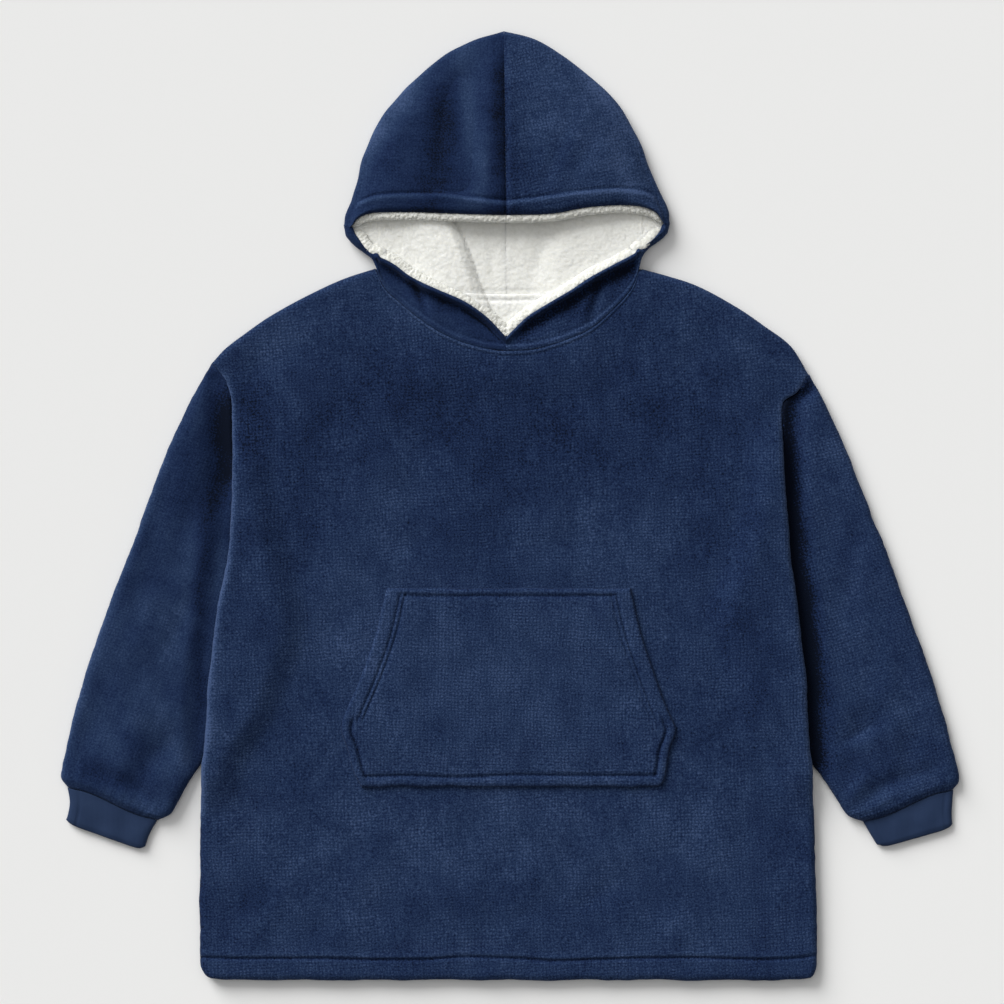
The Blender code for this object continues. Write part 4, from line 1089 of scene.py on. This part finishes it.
def make_hood_half(word, cloth):
    """One outer half of the hood: its collar, the fold at its corner, its back and its crown."""
    col, folded = hood_columns(word, COLUMNS, 0.1)
    upper, under, shade = [], [], []
    # The collar, from the face edge to the neck seam
    depth = np.linalg.norm(col["neck_in"] - col["face"], axis=1)
    for share in (0, 0.015, 0.03, 0.05, 0.075, 0.10, 0.13, 0.165, 0.2, *np.linspace(0.24, 0.8, 16),
                  0.85, 0.89, 0.925, 0.95, 0.975, 1):
        at = col["face"] + (col["neck_in"] - col["face"]) * share
        x, y = at[:, 0], at[:, 1]
        off_v = abs(x - CENTRE)
        inset, to_neck = depth * share, depth * (1 - share)
        lift = facing_lift(x, y)
        deep = smooth((depth - 22) / 24)
        roll = collar_roll(x) * np.exp(-(((inset - 2.6) / 5.2) ** 4)) * smooth(depth / 16)
        trough = dent(inset - 16, 9.0, 3.0) * deep
        line = dent(inset - 11.5, *COLLAR_LINE) * smooth((62 - off_v) / 30) * smooth((depth - 14) / 8)
        near_seam = smooth((depth - 8) / 10)
        seam = 0.9 * smooth((8.5 - to_neck) / 2.5) + dent(to_neck, *COLLAR_SEAM)
        seam = seam + dent(to_neck - 9.4, *COLLAR_GROOVE)
        top = FRONT_TOP + lift + roll + trough + line + seam * near_seam
        top = top - round_drop(inset, *COLLAR_ROUND)
        top = top + soft_spots(COLLAR_CREASES, x, y) * smooth(inset / 8) + 0.3 * uneven(x, y, 14, 61)
        upper.append(points(at, top))
        under.append(points(at, FRONT_UNDER + lift + 2.2 + 0.6 * (roll - 3) * (roll > 3)))
        # Painted light on the collar: highlight on the neck seam's ridges, shadow in the hollow under
        # the face edge's roll, shade on the roll, and highlight and shade beside the V's stitched line
        pale = 0.8 * bell(to_neck - 6.9, 1.2) + 0.5 * bell(to_neck - 1.4, 1.2)
        hollow_shadow = bell(inset - np.where(x > 0, 15, 11.5), np.where(x > 0, 10.0, 4.0)) * deep
        at_v = smooth((64 - off_v) / 24) * (x < CENTRE)
        band = -0.2 * bell(inset - 3.5, 4)
        band = band + at_v * (0.7 * bell(inset - 10.6, 1.2) - 0.8 * bell(inset - 12.8, 1.3))
        shade.append(pale * near_seam - np.where(x > 0, 1.8, 1.0) * hollow_shadow + band)
    collar_end = len(upper) - 1
    # The fold at the lower corner, which only the corner's columns have
    for turn in (66, 33, 0, -33, -66):
        c, s = arc(turn)
        middle = col["neck_in"] + (col["low_in"] - col["neck_in"]) * (90 - turn) / 180
        upper.append(points(middle - col["sideways"] * CORNER_FOLD * c, MIDDLE + MIDDLE * s))
        under.append(points(middle - col["sideways"] * (CORNER_FOLD - FLANNEL) * c, 6.1 + 2.8 * s))
    # The back half, flat on the table, and the fold round its outline
    back_start = len(upper)
    for share in np.linspace(0, 1, 12):
        at = col["low_in"] + (col["up_in"] - col["low_in"]) * share
        upper.append(points(at, 0.0))
        under.append(points(at, FLANNEL))
    edge = CROWN_EDGE_HEIGHT / 2
    for turn in (-72, -54, -36, -18, 0, 18, 36, 54, 72):
        c, s = arc(turn)
        ripple = 0.6 * uneven(col["up_in"][:, 0], col["up_in"][:, 1], 24, 71)[:, None] * c
        out = col["up_in"] - col["outward"] * (HOOD_FOLD * c + ripple)
        upper.append(points(out, edge + edge * s))
        inward = col["up_in"] - col["outward"] * (HOOD_FOLD - FLANNEL) * c
        under.append(points(inward, edge + (edge - FLANNEL) * s))
    shade += [np.zeros(len(col["across"]))] * (len(upper) - len(shade))
    # The crown, from its outline down to the brim
    length = np.linalg.norm(col["brim"] - col["up_in"], axis=1)
    hem = BRIM_DEPTH(col["brim"][:, 0])
    near = (-5, -2.6, -1.3, 0, 1.3, 2.6, 5)
    from_brim = [hem - n for n in near]
    from_brim += [hem * f for f in (0.62, 0.46, 0.33, 0.23, 0.14, 0.07, 0.02, 0)]
    squeeze = np.minimum(1.0, length / 55)
    first = from_brim[0] * squeeze
    rows = [length + (first - length) * f for f in np.linspace(0, 1, 52)[:-1]]
    seam_across, seam_up, seam_lean = CROWN_SEAM
    for distance in rows + [d * squeeze for d in from_brim]:
        share = 1 - distance / np.maximum(length, 1e-6)
        at = col["up_in"] + (col["brim"] - col["up_in"]) * share[:, None]
        x, y = at[:, 0], at[:, 1]
        top = body = crown_height(col["across"], share, x, y)
        from_line = y - BRIM_SEAM(x)
        stitched = dent(from_line, *BRIM_GROOVE) + 1.6 * bell(from_line + 6, 5)
        off_seam = x - seam_across + (y - seam_up) * seam_lean
        centre = dent(off_seam, *CROWN_GROOVE) + 0.9 * bell(abs(off_seam) - 8, 4)
        folds = soft_spots(HOOD_CREASES, x, y) + 0.35 * uneven(x, y, 20, 72)
        folds = folds * smooth(from_line / 10 + 0.4)
        folds = folds * smooth(share * 5)
        top = top + stitched * smooth(share * 5) + centre * smooth(share * 6) + folds
        top = top - round_drop(distance / squeeze, *BRIM_TURN)
        upper.append(points(at, top))
        # Painted shade in the brim's stitched groove, painted highlight below it, and painted shade in
        # the centre seam and on the brim's turned edge
        line = -0.5 * bell(from_line, 1.4) + 0.9 * bell(from_line + 4.2, 3.2)
        line = line * smooth(share * 5) - 0.6 * bell(off_seam, 2.2)
        shade.append(line - 0.7 * smooth((9 - distance / squeeze) / 8))
        under.append(points(at, body - FLANNEL - 5.4 * smooth((share - 0.8) / 0.15)))

    def absent(i, j):
        return collar_end <= i < back_start and j >= folded

    names = ("navy_flannel", word + "_hood")
    return wall("hood_" + word, upper, under, cloth, *names, absent=absent, shade=shade, crisp=True)


def curls(x, y, z, seed):
    """Height of the sherpa's curls, 0 to 1: small round clumps with finer curls on them."""
    found = []
    for spot in zip(x.ravel(), y.ravel(), z.ravel()):
        at = Vector(spot) / 4.6 + Vector((seed, 0, 0))
        at += noise.noise_vector(at * 1.7) * 0.35
        near = noise.voronoi(at)[0]
        lump = max(0.0, 1 - near[0] ** 2 * 1.6)
        found.append(0.62 * lump + 0.38 * (0.5 + 0.5 * noise.noise(Vector(spot) / 1.7)))
    return np.array(found).reshape(x.shape)


# The folded edge of the hood's left side, inside it: up, across
FLAP_EDGE = curve(((860, -22), (870, -24), (902, -38), (938, -50), (965, -61), (984, -71)))


def flap_level(x, y):
    """How far the hood's left side, folded over itself, stands up."""
    left_of = FLAP_EDGE(y) - x
    return 11.0 * np.sqrt(np.clip((left_of + 1) / 14, 0, 1)) * smooth((80 - left_of) / 70 + 0.2)


def lining_level(x, y):
    """How far the lining on the hood's back half stands up from where it lies flat."""
    right = 3.6 * smooth((x - 18 - (y - 870) * 0.28) / 34)
    seam = dent(x - CENTRE + (y - 900) * 0.01, 2.2, 0.9) * smooth((y - 925) / 20)
    bed = 1.0 * smooth((y - 893) / 6) + seam
    return flap_level(x, y) + right + bed + soft_spots(LINING_FOLDS, x, y)


def make_lining(word, cloth):
    """One sherpa half inside the hood: over its back half, up its fold, and under its crown."""
    col, _ = hood_columns(word, LINING_COLUMNS, -0.8)
    col = {key: values[LINING_START:] for key, values in col.items()}
    floor = FLANNEL + LAYER_GAP
    below, above, piles, shown = [], [], [], {}

    def add_row(low, high, pile):
        below.append(low)
        above.append(high)
        piles.append(np.broadcast_to(pile, len(low)))

    back = np.linalg.norm(col["up_in"] - col["lining_low"], axis=1)
    seen = np.minimum(125.0, back * 0.55)
    for share in (*np.linspace(0, 1, 72)[:-1], *(1 + np.linspace(0, 1, 14))):
        distance = seen * share if share <= 1 else seen + (back - seen) * (share - 1)
        at = col["lining_low"] + (col["up_in"] - col["lining_low"]) * (distance / back)[:, None]
        level = lining_level(at[:, 0], at[:, 1]) * smooth((back - distance) / 60)
        pile = 1.1 * smooth(distance / 4 + 0.3)
        add_row(points(at, floor), points(at, floor + SHERPA - 1.0 + level), pile)
    edge = CROWN_EDGE_HEIGHT / 2
    reach = HOOD_FOLD - FLANNEL - LAYER_GAP - 0.2
    for turn in (-60, -30, 0, 30, 60):
        c, s = arc(turn)
        low = points(col["up_in"] - col["outward"] * reach * c, edge + (edge - floor) * s)
        high = points(col["up_in"] + col["outward"] * 0.3 * (1 - c), edge + (edge - floor - SHERPA) * s)
        add_row(low, high, 0.6)
    ledge = np.column_stack([0 * back, -LEDGE * smooth(col["across"] * 5)])
    for down in (*np.linspace(0, 0.86, 16), *np.linspace(0.89, 1, 12), *(1 + np.linspace(0.08, 1, 11))):
        share, past = min(down, 1.0), max(down - 1, 0.0)
        on_crown = col["up_in"] + (col["brim"] - col["up_in"]) * share
        at = on_crown + ledge * past
        top = crown_height(col["across"], share, on_crown[:, 0], on_crown[:, 1])
        sunk = LAYER_GAP + FLANNEL + 5.4 * smooth((share - 0.8) / 0.12)
        thick = SHERPA - 1.2 - 1.2 * past
        low = points(at, top - sunk - 1.8 * past ** 2)
        add_row(low, points(at, top - sunk - thick), 1.2 * smooth((share - 0.7) / 0.2))
        shown[len(below) - 1] = 1.6 * smooth(past * 4)
    low, high, pile = np.array(below), np.array(above), np.array(piles)
    way = high - low
    way /= np.linalg.norm(way, axis=2)[..., None] + 1e-9
    heights = curls(high[..., 0], high[..., 1], high[..., 2], 3.0)
    high = high + way * (pile * heights)[..., None]
    for i, amount in shown.items():
        low[i, :, 2] += amount * curls(low[i, :, 0], low[i, :, 1], low[i, :, 2] + 40, 3.0)
        low[i, :, 1] -= amount * curls(low[i, :, 0], low[i, :, 1], low[i, :, 2] + 80, 3.0)
    high[..., 0] += 0.5 * uneven(high[..., 0], high[..., 1], 2.4, 81) * np.minimum(pile, 1)
    high[..., 1] += 0.5 * uneven(high[..., 0], high[..., 1], 2.4, 82) * np.minimum(pile, 1)
    names = ("white_sherpa", word + "_hood_lining")
    return wall("lining_" + word, low, high, cloth, *names, crisp=True)


def make_neck_facing(cloth):
    """The sherpa of the body's back, where it shows in the V."""
    across = np.linspace(-88, 84, 112)
    outer, inner = [], []
    for share in np.linspace(0, 1, 58):
        top = BACK_SEAM(across) + 2.4
        y = FACING_LOW + (top - FACING_LOW) * share
        x = across.copy()
        level = BACK_TOP + LAYER_GAP + FACING_WALL - 1.2 + 0.9 * smooth((top - y - 6) / 6)
        level = level + dent(top - y - 8, 2.0, 1.0)
        level = level + 0.8 * flap_level(x, y) * smooth((y - FACE(x) + 1) / 12)
        pile = 1.2 * curls(x, y, level, 9.0) * smooth((top - y) / 3 + 0.2)
        outer.append(np.column_stack([x, y, level + pile]))
        inner.append(np.column_stack([x, y, np.full_like(x, BACK_TOP + LAYER_GAP)]))
    return wall("neck_lining", outer, inner, cloth, "white_sherpa", "neck_facing")


# The pile that stands past the hood's edges: where its roll begins and ends, past the edge, and as
# shares of the collar's height at the face edge or as depths under the crown at the brim
FACE_PILE = ((-1.7, 0.90), (11.0, 0.0))
BRIM_PILE = ((0.4, -8.6), (9.2, -10.8))
PILE_ROUND = 3.6  # half the thickness of the face edge's roll
BRIM_ROUND = 2.9  # and of the brim's
PILE_CURLS = 2.5  # how far the curls stand out of a roll


def curly_roll(name, starts, ends, thickness, seed, cloth):
    """A soft roll of sherpa, as wide as from a line of start points to a line of end points."""
    starts, ends, thickness = np.array(starts), np.array(ends), np.array(thickness)[:, None]
    middle, half = (starts + ends) / 2, (ends - starts) / 2
    along = half / np.linalg.norm(half, axis=1)[:, None]
    level = along * (1, 1, 0) / np.linalg.norm(along[:, :2], axis=1)[:, None]
    upright = level * -along[:, 2:] + np.array((0, 0, 1)) * (along * level).sum(axis=1)[:, None]
    outer, inner = [], []
    for turn in np.linspace(0, 2 * math.pi, 31):
        spoke = half * math.cos(turn) + upright * thickness * math.sin(turn)
        outer.append(middle + spoke)
        inner.append(middle + spoke * 0.1)
    outer = np.array(outer[:-1] + outer[:1]).transpose(1, 0, 2)
    inner = np.array(inner[:-1] + inner[:1]).transpose(1, 0, 2)
    spokes = outer - middle[:, None]
    lumps = curls(*(1.15 * outer).transpose(2, 0, 1), seed) - 0.42
    outer = outer + spokes / np.linalg.norm(spokes, axis=2)[..., None] * PILE_CURLS * lumps[..., None]
    return wall(name, outer, inner, cloth, "white_sherpa", ring=True)


def make_edge_pile(word, cloth):
    """The sherpa that shows past one hood half's face edge and under its brim."""
    col, _ = hood_columns(word, COLUMNS)
    shares = np.linspace(0.03, 0.995, 400)
    edge = path(col["face"][::3])
    face, ahead = edge(shares), edge(shares + 0.004)
    run = (ahead - face) / (np.linalg.norm(ahead - face, axis=1)[:, None] + 1e-9)
    run[-1] = run[-2]
    out = np.column_stack([run[:, 1], -run[:, 0]]) * SIDES[word]["way"]
    base = FRONT_UNDER + facing_lift(face[:, 0], face[:, 1])
    at_corner = smooth((201 - abs(face[:, 0])) / 14)
    height = WALL - 4.6 + 0.9 * collar_roll(face[:, 0]) * at_corner
    slim = smooth(shares / 0.12 + 0.3)
    starts, ends = [
        points(face + out * (reach * slim)[:, None], base + height * up) for reach, up in FACE_PILE
    ]
    face_pile = curly_roll("face_pile_" + word, starts, ends, PILE_ROUND * slim, 11.0, cloth)

    across = np.linspace(col["across"][5], 1, 300)
    brim = np.column_stack([np.interp(across, col["across"], col["brim"][:, k]) for k in (0, 1)])
    top = crown_height(across, 1.0, brim[:, 0], brim[:, 1])
    slim = smooth(across * 5)
    starts, ends = [
        points(brim - np.column_stack([0 * slim, reach * slim]), top + down)
        for reach, down in BRIM_PILE
    ]
    brim_pile = curly_roll("brim_pile_" + word, starts, ends, BRIM_ROUND * slim, 17.0, cloth)
    return [face_pile, brim_pile]


# Each light's name, strength, width in degrees and the way it travels
LIGHTS = (
    ("window_light", 3.7, 36, (1.22, -1.60, -1.0)),
    ("ceiling_light", 0.98, 90, (0.25, -0.30, -1.0)),
)
SKY_STRENGTH = 0.172
SENSOR, LENS = 36.0, 150.0  # the camera's, in millimetres
PICTURE_WIDTH = 1.2997  # metres across the picture, at the garment
CAMERA_OVER = (-0.0107, 0.0044)
TABLE_HALF = 4.0
TABLE_LEVEL = -0.0006


def studio():
    """A pale table top, soft light from the upper left and the camera straight above."""
    mesh = bmesh.new()
    bmesh.ops.create_grid(mesh, x_segments=1, y_segments=1, size=TABLE_HALF)
    bmesh.ops.translate(mesh, verts=mesh.verts, vec=(0, 0, TABLE_LEVEL))
    data = bpy.data.meshes.new("table_top")
    mesh.to_mesh(data)
    mesh.free()
    data.materials.append(table_top("pale_painted_board"))
    floor = bpy.data.objects.new("table_top", data)
    bpy.context.collection.objects.link(floor)

    scene = bpy.context.scene
    scene.world = scene.world or bpy.data.worlds.new("studio")
    scene.world.use_nodes = True
    sky = scene.world.node_tree.nodes["Background"]
    sky.inputs["Color"].default_value = (1.0, 1.0, 1.0, 1)
    sky.inputs["Strength"].default_value = SKY_STRENGTH
    for name, strength, width, way in LIGHTS:
        lamp = bpy.data.lights.new(name, "SUN")
        lamp.energy, lamp.angle = strength, math.radians(width)
        source = bpy.data.objects.new(name, lamp)
        source.rotation_euler = Vector(way).to_track_quat("-Z", "Y").to_euler()
        bpy.context.collection.objects.link(source)

    view = bpy.data.cameras.new("camera")
    view.sensor_width, view.lens = SENSOR, LENS
    camera = bpy.data.objects.new("camera", view)
    camera.location = (*CAMERA_OVER, 0.015 + PICTURE_WIDTH * LENS / SENSOR)
    bpy.context.collection.objects.link(camera)
    scene.camera = camera
    scene.view_settings.view_transform = "Standard"


def make_pocket(cloth):
    """The kangaroo pocket, with its stitched edges."""
    low, high = POCKET_SIDES[0][0], POCKET_SIDES[-1][0]
    near = (
        0, 0.9, 2.2, 4, 6, 8, 10.5, 12, 13, 14, 16, 18, 19.4, 20.5, 21.6, 23.5, 25.4, 26.6, 27.8, 30,
    )
    ups = np.concatenate([
        low + np.array((0, 0.9, 2.2, 4, 6, 8.5, 11, 13, 14.5, 16, 18, 21)),
        np.linspace(low + 25, high - 22, 58),
        high - np.array((18, 15, 12, 10.2, 9.0, 7.8, 6, 4, 2.2, 0.9, 0)),
    ])
    shares = np.linspace(0, 1, 78)[1:-1]
    outer, inner, shade = [], [], []
    for y_row in ups:
        left, right = float(POCKET_LEFT(y_row)), float(POCKET_RIGHT(y_row))
        start, end = left + near[-1], right - near[-1]
        even = start + (end - start) * shares
        x = np.concatenate([left + np.array(near), even, right - np.array(near)[::-1]])
        y = np.full_like(x, y_row)
        side, down = np.minimum(x - left, right - x), high - y
        edge = np.minimum(side, np.minimum(y - low, down))
        slanted = smooth((y - POCKET_ELBOW + 4) / 8)
        foot = y - low - POCKET_FOOT_LINE - 1.5 * uneven(x, y, 52, 91)
        twin = sum(dent(side - at, *TWIN_GROOVE) for at in POCKET_TWIN) * slanted
        ridge = 0.8 * bell(side - sum(POCKET_TWIN) / 2, 1.8) * slanted
        below_top = smooth((down - 4) / 5)
        side_line = dent(side - POCKET_SIDE_LINE, *SIDE_GROOVE) * (1 - slanted) * smooth(foot / 6 + 0.6)
        foot_line = dent(foot, *FOOT_GROOVE) * smooth((side - POCKET_SIDE_LINE + 5) / 6)
        slope = 1.8 * uneven(x, 0 * y, 70, 95)
        upper_line = dent(down - POCKET_TOP_LINE + slope, *TOP_GROOVE)
        upper_line = upper_line * smooth((side - POCKET_TWIN[1] + 6) / 6)
        band = 0.7 * smooth((POCKET_SIDE_LINE - side) / 5) * (1 - slanted)
        band = np.maximum(band, 0.4 * smooth(-foot / 5))
        band = np.maximum(band, 0.5 * smooth((POCKET_TOP_LINE - down) / 4))
        band = np.maximum(band, 0.9 * smooth((POCKET_TWIN[0] - side) / 6) * slanted)
        crown = 1.1 * smooth(edge / 50) + 0.35 * uneven(x, y, 24, 92) * smooth(edge / 20)
        base = front_height(x, y)
        lines = twin * below_top + side_line + foot_line + upper_line
        # Painted shade in the stitched grooves and round the pocket's edge
        shade.append(0.26 * lines - 0.5 * smooth((2.5 - edge) / 2.5))
        top = base + LAYER_GAP + POCKET_WALL + twin * below_top + ridge * below_top + side_line
        top = top + foot_line + upper_line + band + crown - round_drop(edge, *POCKET_ROUND)
        sway = (1 - smooth(edge / 14)) * (0.8 * uneven(x, y, 34, 93) + 0.3 * uneven(x, y, 10, 94))
        outer.append(np.column_stack([x, y + sway, top]))
        inner.append(np.column_stack([x, y + sway, base + LAYER_GAP]))
    return wall("front_pocket", outer, inner, cloth, "navy_flannel", "kangaroo_pocket", shade=shade)


def build():
    studio()
    body = plush_flannel("brushed_flannel_body", math.radians(-3), 1.0)
    pocket_cloth = plush_flannel("brushed_flannel_pocket", math.radians(1), 1.1, 0.04)
    sleeve_cloth = {
        "left": plush_flannel("brushed_flannel_left_sleeve", math.radians(18), 0.45),
        "right": plush_flannel("brushed_flannel_right_sleeve", math.radians(-16), 0.95),
    }
    hood_cloth = {
        "left": plush_flannel("brushed_flannel_left_hood", math.radians(92), 0.35, -0.08),
        "right": plush_flannel("brushed_flannel_right_hood", math.radians(80), 0.95, 0.07),
    }
    white = sherpa_pile("curly_sherpa", 0.5)
    # A copy of the sherpa greyed with painted shade, for the curly rolls at the hood's edges
    loose = sherpa_pile("loose_sherpa_curls", 0.3, 0.26)
    knit = jersey_knit("cuff_jersey")

    back = make_back(body)
    front = make_front(body)
    sleeves = [make_sleeve(word, sleeve_cloth[word]) for word in SIDES]
    cuffs = [make_cuff(word, knit) for word in SIDES]
    hoods = {word: make_hood_half(word, hood_cloth[word]) for word in SIDES}
    linings = {word: make_lining(word, white) for word in SIDES}
    facing = make_neck_facing(white)
    pocket = make_pocket(pocket_cloth)
    piles = {word: make_edge_pile(word, loose) for word in SIDES}


build()
